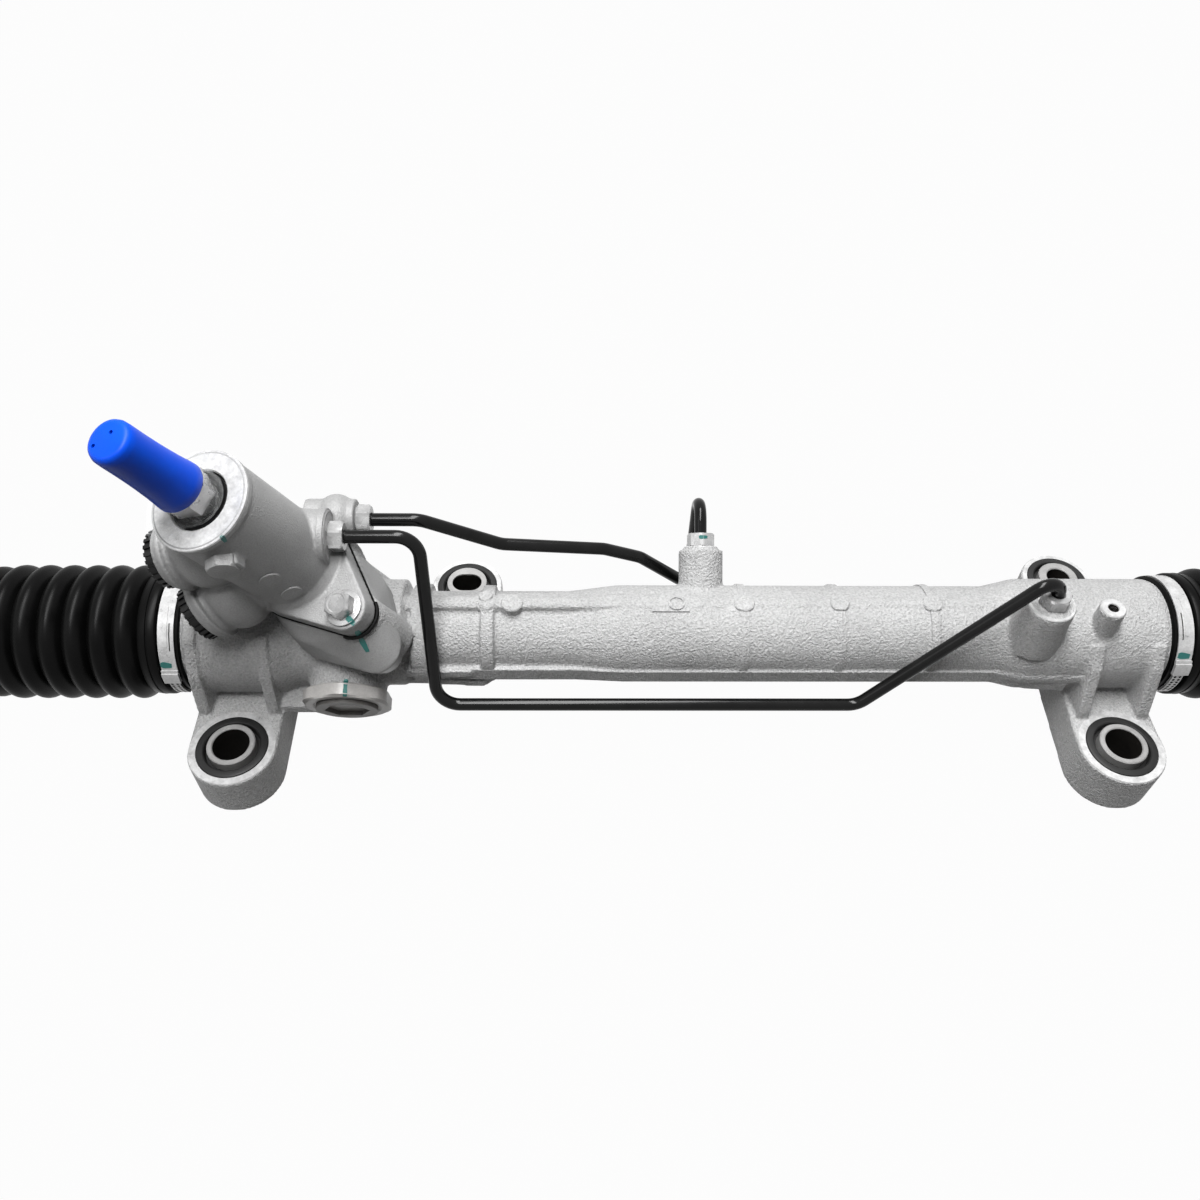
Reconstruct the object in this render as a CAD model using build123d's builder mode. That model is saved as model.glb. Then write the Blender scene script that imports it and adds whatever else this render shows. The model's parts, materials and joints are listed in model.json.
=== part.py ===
from build123d import *
from math import acos, cos, pi, radians, sin, sqrt, tan
import os

# A hydraulic power steering rack: an aluminium rack housing with four rubber-bushed ears, a toothed
# rack bar with the hydraulic piston, an inclined pinion with its rotary valve in a bolted valve
# housing, the sprung rack guide, two rigid transfer pipes, the bellows and the inner tie rods.
# X runs along the rack, Y away from the front ears, Z up. The origin is the underside of the
# gear-side front sleeve, on its bore axis. All sizes are in millimetres.

os.makedirs("parts", exist_ok=True)

# Driving sizes: mounting ears
MOUNT_SPAN = 450.0
REAR_GEAR_X = 110.0
REAR_GEAR_Y = 107.5
REAR_FAR_Y = 113.0
SLEEVE_H = 31.0
EAR_Z0 = 3.0
EAR_Z1 = 28.0
RUBBER_STEP = 1.0
FRONT_BORE_R = 9.1
FRONT_SLEEVE_R = 11.9
FRONT_RUBBER_R = 17.8
FRONT_EAR_R = 22.0
REAR_BORE_R = 6.5
REAR_SLEEVE_R = 11.0
REAR_RUBBER_R = 16.7
REAR_EAR_R = 19.8
SLOT_LENGTH = 16.5
SLOT_WIDTH = 12.3
REAR_WEB_HALF = 19.0
GUSSET_T = 6.0

# Driving sizes: rack axis and rack housing
RACK_Y = 57.0
RACK_Z = 49.0
GEAR_END_X = -22.0
FAR_END_REACH = 20.0
SPIGOT_LEN = 18.0
SPIGOT_R = 28.0
GEAR_COLLAR_R = 31.0
GEAR_COLLAR_LEN = 44.0
GEAR_CASE_R = 27.5
GEAR_CASE_END_X = 84.0
NECK_R = 21.5
NECK_TAPER = 25.0
TUBE_R = 24.7
TUBE_LEAD = 44.0
TUBE_END_BACK = 65.0
TUBE_RIB_PITCH = 48.5
FAR_CASE_R = 28.7
FAR_CASE_BACK = 48.0
RIB_PROUD = 1.0
LONG_RIB_W = 4.5
LEDGE_T = 5.0

# Driving sizes: rack bar, piston and seals
BAR_R = 13.0
BAR_BORE_GAP = 1.5
TRAVEL = 70.0
STOP_GAP = 2.0
CYLINDER_R = 20.5
PISTON_LEN = 20.0
PISTON_GAP = 0.6
PORT_MARGIN = 7.5
FAR_PORT_BACK = 45.5
PORT_HOLE_R = 3.0
SEAL_POCKET_R = 19.0
SEAL_LEN = 9.0
END_BUSH_LEN = 28.0
RUN_GAP = 0.05
SEAT_GAP = 0.3

# Driving sizes: pinion, rack teeth and valve
PINION_X = 55.8
YOKE_TILT = 20.0
PINION_LEAN = 18.3
PINION_OFFSET = 16.0
MODULE = 1.9
PINION_TEETH = 8
PRESSURE_ANGLE = 28.0
RACK_ADDENDUM = 1.45
RACK_DEDENDUM = 2.1
PINION_ADDENDUM = 1.6
PINION_DEDENDUM = 1.9
TOOTH_BACKLASH = 0.12
GEAR_HALF = 13.0
JOURNAL_R = 5.0
UPPER_JOURNAL_R = 8.0
VALVE_BORE_R = 16.0
SHAFT_R = 8.4
TORSION_R = 2.6
TWIST_GAP = 0.6
BARREL_R = 21.0
BARREL_LOW = -31.0
FLANGE_L = 48.0
FLANGE_T = 11.0
FLANGE_CORE_R = 25.0
FRONT_BOLT_PLACE = (29.5, -26.5)
BACK_BOLT_PLACE = (-22.0, 23.5)
LOBE_R = 10.5
TOWER_R = 22.6
TOWER_TOP = 130.4
RING_R = 23.0
RING_H = 4.0
GASKET_T = 0.8
CAP_START = 142.5
CAP_END = 184.0
CAP_R = 9.6

# Driving sizes: hydraulic ports and pipes
PIPE_R = 3.2
PIPE_WALL = 0.8
NUT_AF = 13.0
NUT_H = 7.0
UNION_R = 5.0
UNION_THREAD = 4.5
PIPE_IN = 3.0
LOW_PORT_X = 57.0
LOW_PORT_Y = 54.0
LOW_PORT_Z = 123.8
HIGH_PORT_X = 66.0
HIGH_PORT_Y = 73.0
HIGH_PORT_Z = 115.8
LOW_PORT_R = 12.3
HIGH_PORT_R = 10.0
MID_PORT_R = 11.5
MID_PORT_LEAN = 40.0
MID_PORT_LEN = 45.0
FAR_PORT_R = 10.3
FAR_PORT_Y = 41.5
FAR_PORT_TOP = 92.0
TAPPED_BOSS_BACK = 13.0
TAPPED_BOSS_Y = 43.0
TAPPED_BOSS_TOP = 86.5
TAPPED_BOSS_R = 6.4
TAPPED_HOLE_R = 2.5
FEED_PORT_R = 15.4
FEED_BORE_R = 8.0
PLUG_R = 13.0
PLUG_FLANGE_T = 4.5

# Driving sizes: rack guide
GUIDE_R = 14.0
YOKE_BOSS_R = 19.0
YOKE_BOSS_LEN = 33.0
LOCK_NUT_AF = 42.0
LOCK_NUT_H = 7.5
PLUG_SOCKET_AF = 20.0

# Driving sizes: boots and inner tie rods
BOOT_T = 1.6
BOOT_LIP_LEN = 17.0
BOOT_PITCH = 11.4
BOOT_FOLDS = 14
BOOT_CREST_R = 34.5
BOOT_VALLEY_R = 28.6
BOOT_SMALL_R = 10.5
CLAMP_W = 9.0
CLAMP_T = 0.8
CLIP_W = 4.0
CLIP_T = 1.2
SOCKET_R = 17.5
SOCKET_LEN = 40.0
BALL_SEAT = 22.0
BALL_R = 11.0
ROD_R = 7.5
NECK_ROD_R = 6.5
TIE_ROD_REACH = 260.0
THREAD_R = 7.0
THREAD_LEN = 45.0
JAM_NUT_AF = 22.0
JAM_NUT_H = 10.0
NUT_STRETCH = 20.0
NUT_GRIP = 0.1

# Places along the rack that follow from the span of the mounting bolts and the travel
far_end_x = MOUNT_SPAN + FAR_END_REACH
far_port_x = MOUNT_SPAN - FAR_PORT_BACK
mid_port_x = far_port_x - 2 * TRAVEL - PISTON_LEN - PORT_MARGIN
tube_start_x = mid_port_x - TUBE_LEAD
tube_end_x = MOUNT_SPAN - TUBE_END_BACK
neck_end_x = tube_start_x - NECK_TAPER
neck_len = neck_end_x - GEAR_CASE_END_X
far_case_start_x = MOUNT_SPAN - FAR_CASE_BACK
tapped_boss_x = MOUNT_SPAN - TAPPED_BOSS_BACK

# Frames that the pieces are drawn on
tilt = radians(YOKE_TILT)
lean = radians(PINION_LEAN)
to_yoke = Vector(0, -cos(tilt), -sin(tilt))
up_slope = Vector(0, -sin(tilt), cos(tilt))
along_x = Vector(1, 0, 0)
pinion_dir = up_slope * cos(lean) - along_x * sin(lean)
pinion_side = along_x * cos(lean) + up_slope * sin(lean)
rack_centre = Vector(PINION_X, RACK_Y, RACK_Z)
pinion_centre = rack_centre - to_yoke * PINION_OFFSET

rack_plane = Plane(origin=(0, RACK_Y, RACK_Z), x_dir=(0, 1, 0), z_dir=(1, 0, 0))
rack_side = Plane(origin=(0, RACK_Y, RACK_Z), x_dir=(1, 0, 0), z_dir=(0, -1, 0))
rack_axis = Axis((0, RACK_Y, RACK_Z), (-1, 0, 0))
pinion_plane = Plane(origin=pinion_centre, x_dir=pinion_side, z_dir=pinion_dir)
pinion_profile = Plane(origin=pinion_centre, x_dir=pinion_side, z_dir=pinion_side.cross(pinion_dir))
pinion_axis = Axis(pinion_centre, pinion_dir)
yoke_plane = Plane(origin=rack_centre, x_dir=(1, 0, 0), z_dir=to_yoke)
yoke_profile = Plane(origin=rack_centre, x_dir=(1, 0, 0), z_dir=Vector(1, 0, 0).cross(to_yoke))
yoke_axis = Axis(rack_centre, to_yoke)


def disc(plane, radius, length, mode=Mode.ADD):
    """A round bar that starts on the plane."""
    with BuildSketch(plane) as section:
        Circle(radius)
    extrude(section.sketch, amount=length, mode=mode)


def hexagon(plane, across_flats, height, mode=Mode.ADD):
    """A hexagonal prism that starts on the plane."""
    with BuildSketch(plane) as section:
        RegularPolygon(across_flats / 2, 6, major_radius=False)
    extrude(section.sketch, amount=height, mode=mode)


def turned(plane, axis, points, mode=Mode.ADD):
    """A turned shape whose half section is drawn on the plane."""
    with BuildSketch(plane) as section:
        with BuildLine():
            Polyline(*points, close=True)
        make_face()
    revolve(section.sketch, axis=axis, mode=mode)


def finish(piece, name):
    """Labels a finished piece and writes its file."""
    piece.part.label = name
    export_step(piece.part, f"parts/{name}.step")


# Ports: where each starts, and the way it faces
mid_port_dir = Vector(0, cos(radians(MID_PORT_LEAN)), sin(radians(MID_PORT_LEAN)))
mid_port_face = Vector(mid_port_x, RACK_Y, RACK_Z) + mid_port_dir * MID_PORT_LEN
mid_port_plane = Plane(origin=mid_port_face, x_dir=(1, 0, 0), z_dir=mid_port_dir)
far_port_plane = Plane(origin=(far_port_x, FAR_PORT_Y, FAR_PORT_TOP), x_dir=(1, 0, 0), z_dir=(0, 0, 1))
low_port_plane = Plane(origin=(LOW_PORT_X, LOW_PORT_Y, LOW_PORT_Z), x_dir=(0, 1, 0), z_dir=(1, 0, 0))
high_port_plane = Plane(origin=(HIGH_PORT_X, HIGH_PORT_Y, HIGH_PORT_Z), x_dir=(0, 1, 0), z_dir=(1, 0, 0))
PIPE_PORTS = [low_port_plane, high_port_plane, mid_port_plane, far_port_plane]


def feed_port(along, turn, reach):
    """The plane on the face of a feed port: it faces away from the pinion axis, turned about it."""
    side_away = pinion_dir.cross(pinion_side)
    facing = pinion_side * -cos(radians(turn)) - side_away * sin(radians(turn))
    return Plane(origin=pinion_centre + pinion_dir * along + facing * reach, x_dir=pinion_dir, z_dir=facing)


PRESSURE_PORT_REACH = 40.0
RETURN_PORT_REACH = 47.0
pressure_port_plane = feed_port(95.0, 9.0, PRESSURE_PORT_REACH)
return_port_plane = feed_port(65.0, 27.0, RETURN_PORT_REACH)

# Half widths of the front ear webs, which stay clear of the boots
EAR_END_GAP = 1.5
gear_web_half = -GEAR_END_X - EAR_END_GAP
far_web_half = far_end_x - MOUNT_SPAN - EAR_END_GAP

# Stations along the rack
piston_x = (mid_port_x + far_port_x) / 2
bar_left = GEAR_END_X - TRAVEL - STOP_GAP
bar_right = far_end_x + TRAVEL + STOP_GAP
cylinder_start = mid_port_x - PORT_HOLE_R - 3.0
end_bush_x = far_port_x + PORT_HOLE_R + 4.0
bar_bore_r = BAR_R + BAR_BORE_GAP
spigot_bore_r = SOCKET_R + 4.0
bolt_places = [FRONT_BOLT_PLACE, BACK_BOLT_PLACE]
upper_bearing_l = FLANGE_L - 24.0
UPPER_BEARING_W = 11.0
UPPER_BEARING_R = 17.0
LOWER_BEARING_R = 9.0
LOWER_BEARING_W = 11.0
lower_bearing_l = BARREL_LOW + 4.0
SHAFT_SEAL_R = 13.6
SHAFT_SEAL_W = 8.0
SHAFT_BEARING_R = 13.0
SHAFT_BEARING_W = 8.0
seal_l = TOWER_TOP - 1.5 - SHAFT_SEAL_W
shaft_bearing_l = seal_l - SHAFT_BEARING_W - 1.0
BOLT_R = 4.0
BOLT_SEAT_R = 8.8


def mount_ear(x, y, ear_r, web_half, web_end_y):
    """One mounting ear: a round eye and the web that joins it to the housing."""
    with BuildSketch(Plane.XY.offset(EAR_Z0)) as outline:
        with Locations((x, y)):
            Circle(ear_r)
        with Locations((x - web_half, web_end_y), (x + web_half, web_end_y)):
            Circle(1.0)
        make_hull()
    extrude(outline.sketch, amount=EAR_Z1 - EAR_Z0)


def ear_wall(x, width, points):
    """A wall or rib that joins an ear to the housing: its outline is given in Y and Z."""
    with BuildSketch(Plane(origin=(x - width / 2, 0, 0), x_dir=(0, 1, 0), z_dir=(1, 0, 0))) as side:
        with BuildLine():
            Polyline(*points, close=True)
        make_face()
    extrude(side.sketch, amount=width)


# Rack housing
with BuildPart() as rack_housing:
    turned(
        rack_side,
        rack_axis,
        [
            (GEAR_END_X - SPIGOT_LEN, 0),
            (GEAR_END_X - SPIGOT_LEN, SPIGOT_R - 1),
            (GEAR_END_X - SPIGOT_LEN + 1, SPIGOT_R),
            (GEAR_END_X, SPIGOT_R),
            (GEAR_END_X, GEAR_COLLAR_R),
            (GEAR_END_X + GEAR_COLLAR_LEN, GEAR_COLLAR_R),
            (GEAR_END_X + GEAR_COLLAR_LEN + 8, GEAR_CASE_R),
            (GEAR_CASE_END_X, GEAR_CASE_R),
            (GEAR_CASE_END_X + 3, NECK_R),
            (neck_end_x, NECK_R),
            (tube_start_x, TUBE_R),
            (tube_end_x, TUBE_R),
            (far_case_start_x, FAR_CASE_R),
            (far_end_x, FAR_CASE_R),
            (far_end_x, SPIGOT_R),
            (far_end_x + SPIGOT_LEN - 1, SPIGOT_R),
            (far_end_x + SPIGOT_LEN, SPIGOT_R - 1),
            (far_end_x + SPIGOT_LEN, 0),
        ],
    )
    # Thin ribs round the tube, and the two wide ones on the neck
    disc(rack_plane.offset(GEAR_CASE_END_X + 4.5), NECK_R + 1.2 + RIB_PROUD, 9.0)
    disc(rack_plane.offset(GEAR_CASE_END_X + neck_len / 2 - 2.0), NECK_R + 1.0 + RIB_PROUD, 6.0)
    for n in range(3):
        disc(rack_plane.offset(mid_port_x + 18.0 + n * TUBE_RIB_PITCH), TUBE_R + RIB_PROUD, 3.0)
    # The long rib on top with its round pads
    with BuildSketch(Plane.XY.offset(RACK_Z)) as rib_line:
        with Locations(((GEAR_CASE_END_X + tube_end_x) / 2, RACK_Y)):
            Rectangle(tube_end_x - GEAR_CASE_END_X, LONG_RIB_W)
        with Locations((neck_end_x - 29.0, RACK_Y), (mid_port_x + 20.0, RACK_Y)):
            Circle(4.8)
        with Locations((mid_port_x - 17.0, RACK_Y)):
            RectangleRounded(30.0, 8.0, 1.5)
    extrude(rib_line.sketch, amount=TUBE_R + RIB_PROUD * 0.6)
    # The parting ledge along the front
    with BuildSketch(Plane.XY.offset(RACK_Z - LEDGE_T)) as ledge:
        with BuildLine():
            Polyline(
                (GEAR_CASE_END_X - 2, RACK_Y),
                (GEAR_CASE_END_X - 2, RACK_Y - TUBE_R - 1),
                (GEAR_CASE_END_X + 0.4 * neck_len, RACK_Y - TUBE_R - 1),
                (GEAR_CASE_END_X + 0.4 * neck_len + 6, RACK_Y - NECK_R - 1.4),
                (neck_end_x, RACK_Y - NECK_R - 1.4),
                (tube_start_x, RACK_Y - TUBE_R - RIB_PROUD),
                (tube_end_x, RACK_Y - TUBE_R - RIB_PROUD),
                (far_case_start_x, RACK_Y - FAR_CASE_R - RIB_PROUD),
                (MOUNT_SPAN - far_web_half, RACK_Y - FAR_CASE_R - RIB_PROUD),
                (MOUNT_SPAN - far_web_half, RACK_Y),
                close=True,
            )
        make_face()
    extrude(ledge.sketch, amount=LEDGE_T)
    # Four mounting ears
    mount_ear(0, 0, FRONT_EAR_R, gear_web_half, RACK_Y)
    mount_ear(MOUNT_SPAN, 0, FRONT_EAR_R, far_web_half, RACK_Y)
    mount_ear(REAR_GEAR_X, REAR_GEAR_Y, REAR_EAR_R, REAR_WEB_HALF, RACK_Y + 12)
    mount_ear(MOUNT_SPAN, REAR_FAR_Y, REAR_EAR_R, REAR_WEB_HALF, RACK_Y)
    # The wall that carries the gear-side rear ear up to the neck
    ear_wall(
        REAR_GEAR_X,
        2 * REAR_WEB_HALF - 4,
        [
            (RACK_Y + 4, RACK_Z - 12),
            (RACK_Y + 4, RACK_Z - 2),
            (RACK_Y + NECK_R - 2, RACK_Z - 2),
            (RACK_Y + NECK_R + 9, EAR_Z1 - 1),
            (RACK_Y + NECK_R + 9, EAR_Z1 - 9),
            (RACK_Y + 14, EAR_Z1 - 9),
        ],
    )
    for side in (-1, 1):
        ear_wall(
            side * (gear_web_half - GUSSET_T / 2),
            GUSSET_T,
            [
                (19, EAR_Z1 - 2),
                (19, EAR_Z1 + 4),
                (RACK_Y - GEAR_COLLAR_R - 3, RACK_Z + 4),
                (RACK_Y - GEAR_COLLAR_R * 0.72 - 2, RACK_Z + GEAR_COLLAR_R * 0.72 + 2),
                (RACK_Y - 8, RACK_Z + GEAR_COLLAR_R - 1),
                (RACK_Y - 8, EAR_Z1 - 2),
            ],
        )
        ear_wall(
            MOUNT_SPAN + side * (far_web_half - GUSSET_T / 2),
            GUSSET_T,
            [
                (17, EAR_Z1 - 2),
                (17, EAR_Z1 + 4),
                (RACK_Y - FAR_CASE_R - 2.5, RACK_Z + 8),
                (RACK_Y - FAR_CASE_R * 0.8 - 1, RACK_Z + FAR_CASE_R * 0.6 + 2),
                (RACK_Y - 10, RACK_Z + 10),
                (RACK_Y - 10, EAR_Z1 - 2),
            ],
        )
    # The web between the front ear and the rack guide boss
    with BuildSketch(Plane.XY.offset(EAR_Z1 - 2)) as guide_web:
        with Locations(((gear_web_half + PINION_X) / 2 - 4, RACK_Y - 16)):
            Rectangle(PINION_X - gear_web_half, 20)
    extrude(guide_web.sketch, amount=7)
    # Pinion barrel, rack guide boss and the seat of the valve housing
    turned(
        pinion_profile,
        pinion_axis,
        [
            (0, BARREL_LOW),
            (BARREL_R - 6, BARREL_LOW),
            (BARREL_R, BARREL_LOW + 6),
            (BARREL_R, FLANGE_L - 10),
            (FLANGE_CORE_R, FLANGE_L - 4),
            (FLANGE_CORE_R, FLANGE_L),
            (0, FLANGE_L),
        ],
    )
    with BuildSketch(pinion_plane.offset(FLANGE_L - 14)) as seat:
        Circle(FLANGE_CORE_R + 0.6)
        with Locations(*bolt_places):
            Circle(LOBE_R)
        make_hull()
    extrude(seat.sketch, amount=14)
    with BuildSketch(pinion_plane.offset(FLANGE_L - 36)) as front_bolt_boss:
        with Locations(FRONT_BOLT_PLACE):
            Circle(LOBE_R + 1.2)
    extrude(front_bolt_boss.sketch, amount=35)
    turned(
        yoke_profile,
        yoke_axis,
        [
            (0, 0),
            (YOKE_BOSS_R + 2, 0),
            (YOKE_BOSS_R + 1, YOKE_BOSS_LEN - 10),
            (YOKE_BOSS_R, YOKE_BOSS_LEN),
            (0, YOKE_BOSS_LEN),
        ],
    )
    # Port bosses and the tapped boss at the far end
    disc(mid_port_plane.offset(-MID_PORT_LEN), MID_PORT_R, MID_PORT_LEN - 2.0)
    disc(mid_port_plane.offset(-2.0), MID_PORT_R - 2.5, 2.0)
    far_port_rise = FAR_PORT_TOP - RACK_Z
    disc(far_port_plane.offset(-far_port_rise), FAR_PORT_R, far_port_rise)
    tapped_plane = Plane((tapped_boss_x, TAPPED_BOSS_Y, TAPPED_BOSS_TOP))
    disc(tapped_plane.offset(RACK_Z - TAPPED_BOSS_TOP), TAPPED_BOSS_R, TAPPED_BOSS_TOP - RACK_Z)

    # Rack bore, cylinder and the pockets at both ends
    turned(
        rack_side,
        rack_axis,
        [
            (GEAR_END_X - SPIGOT_LEN - 1, 0),
            (GEAR_END_X - SPIGOT_LEN - 1, spigot_bore_r),
            (GEAR_END_X, spigot_bore_r),
            (GEAR_END_X, bar_bore_r),
            (cylinder_start - SEAL_LEN - 4, bar_bore_r),
            (cylinder_start - SEAL_LEN - 4, SEAL_POCKET_R),
            (cylinder_start, SEAL_POCKET_R),
            (cylinder_start, CYLINDER_R),
            (end_bush_x + END_BUSH_LEN + 6, CYLINDER_R),
            (end_bush_x + END_BUSH_LEN + 6, spigot_bore_r),
            (far_end_x + SPIGOT_LEN + 1, spigot_bore_r),
            (far_end_x + SPIGOT_LEN + 1, 0),
        ],
        mode=Mode.SUBTRACT,
    )
    # Pinion bore with its bearing pockets
    turned(
        pinion_profile,
        pinion_axis,
        [
            (0, lower_bearing_l - 1),
            (LOWER_BEARING_R, lower_bearing_l - 1),
            (LOWER_BEARING_R, lower_bearing_l + LOWER_BEARING_W),
            (MODULE * PINION_TEETH / 2 + PINION_ADDENDUM + 1, lower_bearing_l + LOWER_BEARING_W),
            (MODULE * PINION_TEETH / 2 + PINION_ADDENDUM + 1, upper_bearing_l - 2),
            (UPPER_BEARING_R - 3, upper_bearing_l - 2),
            (UPPER_BEARING_R - 3, upper_bearing_l),
            (UPPER_BEARING_R, upper_bearing_l),
            (UPPER_BEARING_R, FLANGE_L + 1),
            (0, FLANGE_L + 1),
        ],
        mode=Mode.SUBTRACT,
    )
    # Rack guide bore, threaded wider at the mouth
    disc(yoke_plane, GUIDE_R + RUN_GAP, YOKE_BOSS_LEN + 1, mode=Mode.SUBTRACT)
    disc(yoke_plane.offset(YOKE_BOSS_LEN - 14), GUIDE_R + 1.5, 15, mode=Mode.SUBTRACT)
    # Port drillings, each with a wider tapped mouth
    disc(mid_port_plane.offset(-MID_PORT_LEN), PORT_HOLE_R, MID_PORT_LEN + 1, mode=Mode.SUBTRACT)
    disc(mid_port_plane.offset(-UNION_THREAD), UNION_R, UNION_THREAD + 1, mode=Mode.SUBTRACT)
    disc(far_port_plane.offset(-far_port_rise), PORT_HOLE_R, far_port_rise + 1, mode=Mode.SUBTRACT)
    disc(far_port_plane.offset(-UNION_THREAD), UNION_R, UNION_THREAD + 1, mode=Mode.SUBTRACT)
    disc(tapped_plane.offset(-12), TAPPED_HOLE_R, 13, mode=Mode.SUBTRACT)
    # Eyes for the rubber bushes
    for x, y, r in [
        (0, 0, FRONT_RUBBER_R),
        (MOUNT_SPAN, 0, FRONT_RUBBER_R),
        (REAR_GEAR_X, REAR_GEAR_Y, REAR_RUBBER_R),
        (MOUNT_SPAN, REAR_FAR_Y, REAR_RUBBER_R),
    ]:
        with BuildSketch(Plane.XY.offset(EAR_Z0 - 1)) as eye:
            with Locations((x, y)):
                Circle(r)
        extrude(eye.sketch, amount=EAR_Z1 - EAR_Z0 + 20, mode=Mode.SUBTRACT)
    # Tapped holes for the valve housing bolts
    with BuildSketch(pinion_plane.offset(FLANGE_L - 20)) as bolt_holes:
        with Locations(*bolt_places):
            Circle(BOLT_R)
    extrude(bolt_holes.sketch, amount=21, mode=Mode.SUBTRACT)
finish(rack_housing, "rack_housing")


# Mounting bushes: a steel sleeve in a rubber ring in each ear
def bush(name, x, y, sleeve_r, rubber_r, bore_r=None, slot=None):
    """The sleeve and the rubber of one ear; the bore is round, or a slot along X."""
    with BuildPart() as sleeve:
        with BuildSketch() as ring:
            with Locations((x, y)):
                Circle(sleeve_r)
                if slot:
                    SlotOverall(*slot, mode=Mode.SUBTRACT)
                else:
                    Circle(bore_r, mode=Mode.SUBTRACT)
        extrude(amount=SLEEVE_H)
    finish(sleeve, f"{name}_sleeve")
    with BuildPart() as rubber:
        with BuildSketch(Plane.XY.offset(RUBBER_STEP)):
            with Locations((x, y)):
                Circle(rubber_r)
                Circle(sleeve_r, mode=Mode.SUBTRACT)
        extrude(amount=SLEEVE_H - 2 * RUBBER_STEP)
    finish(rubber, f"{name}_rubber")


bush("gear_side_front", 0, 0, FRONT_SLEEVE_R, FRONT_RUBBER_R, bore_r=FRONT_BORE_R)
bush("far_side_front", MOUNT_SPAN, 0, FRONT_SLEEVE_R, FRONT_RUBBER_R, bore_r=FRONT_BORE_R)
bush("gear_side_rear", REAR_GEAR_X, REAR_GEAR_Y, REAR_SLEEVE_R, REAR_RUBBER_R, slot=(SLOT_LENGTH, SLOT_WIDTH))
bush("far_side_rear", MOUNT_SPAN, REAR_FAR_Y, REAR_SLEEVE_R, REAR_RUBBER_R, bore_r=REAR_BORE_R)

# Valve housing
with BuildPart() as valve_housing:
    turned(
        pinion_profile,
        pinion_axis,
        [
            (0, FLANGE_L + GASKET_T),
            (FLANGE_CORE_R, FLANGE_L + GASKET_T),
            (FLANGE_CORE_R, FLANGE_L + FLANGE_T),
            (TOWER_R, FLANGE_L + FLANGE_T + 5),
            (TOWER_R, TOWER_TOP - RING_H - 1),
            (RING_R, TOWER_TOP - RING_H),
            (RING_R, TOWER_TOP - 0.6),
            (RING_R - 0.6, TOWER_TOP),
            (0, TOWER_TOP),
        ],
    )
    with BuildSketch(pinion_plane.offset(FLANGE_L + GASKET_T)) as flange:
        Circle(FLANGE_CORE_R)
        with Locations(*bolt_places):
            Circle(LOBE_R)
        make_hull()
    extrude(flange.sketch, amount=FLANGE_T - GASKET_T)
    # Port bosses: two face the pipes, two face the feed lines
    disc(low_port_plane.offset(-30), LOW_PORT_R, 30)
    disc(high_port_plane.offset(-24), HIGH_PORT_R, 24)
    for port, reach in [(pressure_port_plane, PRESSURE_PORT_REACH), (return_port_plane, RETURN_PORT_REACH)]:
        disc(port.offset(6 - reach), FEED_PORT_R, reach - 6)
    # Small cast lug on the front of the tower
    lug_plane = feed_port(113.0, 105.0, TOWER_R + 4)
    hexagon(lug_plane.offset(-8), 11.0, 8)
    # Joint face, and the machined faces of the bolt seats and the ports
    disc(pinion_plane.offset(FLANGE_L - 30), 70, 30 + GASKET_T, mode=Mode.SUBTRACT)
    with BuildSketch(pinion_plane.offset(FLANGE_L + FLANGE_T)) as bolt_seats:
        with Locations(*bolt_places):
            Circle(BOLT_SEAT_R)
    extrude(bolt_seats.sketch, amount=14, mode=Mode.SUBTRACT)
    disc(pressure_port_plane, FEED_PORT_R + 2.5, PLUG_FLANGE_T + 4, mode=Mode.SUBTRACT)
    disc(return_port_plane, FEED_PORT_R + 2.5, PLUG_FLANGE_T + 4, mode=Mode.SUBTRACT)
    disc(low_port_plane, NUT_AF / 2 + 3, NUT_H + 4, mode=Mode.SUBTRACT)
    # Valve bore, bearing and seal pockets
    turned(
        pinion_profile,
        pinion_axis,
        [
            (0, FLANGE_L),
            (UPPER_BEARING_R, FLANGE_L),
            (UPPER_BEARING_R, FLANGE_L + 2),
            (VALVE_BORE_R, FLANGE_L + 3),
            (VALVE_BORE_R, shaft_bearing_l - 3),
            (SHAFT_BEARING_R - 1.5, shaft_bearing_l - 3),
            (SHAFT_BEARING_R - 1.5, shaft_bearing_l),
            (SHAFT_BEARING_R, shaft_bearing_l),
            (SHAFT_BEARING_R, seal_l - 0.5),
            (SHAFT_SEAL_R, seal_l - 0.5),
            (SHAFT_SEAL_R, TOWER_TOP + 1),
            (0, TOWER_TOP + 1),
        ],
        mode=Mode.SUBTRACT,
    )
    for port, depth in [(low_port_plane, 14), (high_port_plane, 28)]:
        disc(port.offset(-depth), 2.0, depth + 1, mode=Mode.SUBTRACT)
        disc(port.offset(-UNION_THREAD), UNION_R, UNION_THREAD + 1, mode=Mode.SUBTRACT)
    for port, reach in [(pressure_port_plane, PRESSURE_PORT_REACH), (return_port_plane, RETURN_PORT_REACH)]:
        disc(port.offset(10 - reach), 3.0, reach - 9, mode=Mode.SUBTRACT)
        disc(port.offset(-14), FEED_BORE_R, 15, mode=Mode.SUBTRACT)
    with BuildSketch(pinion_plane.offset(FLANGE_L)) as clear_holes:
        with Locations(*bolt_places):
            Circle(BOLT_R + 0.3)
    extrude(clear_holes.sketch, amount=FLANGE_T + 30, mode=Mode.SUBTRACT)
finish(valve_housing, "valve_housing")

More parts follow.
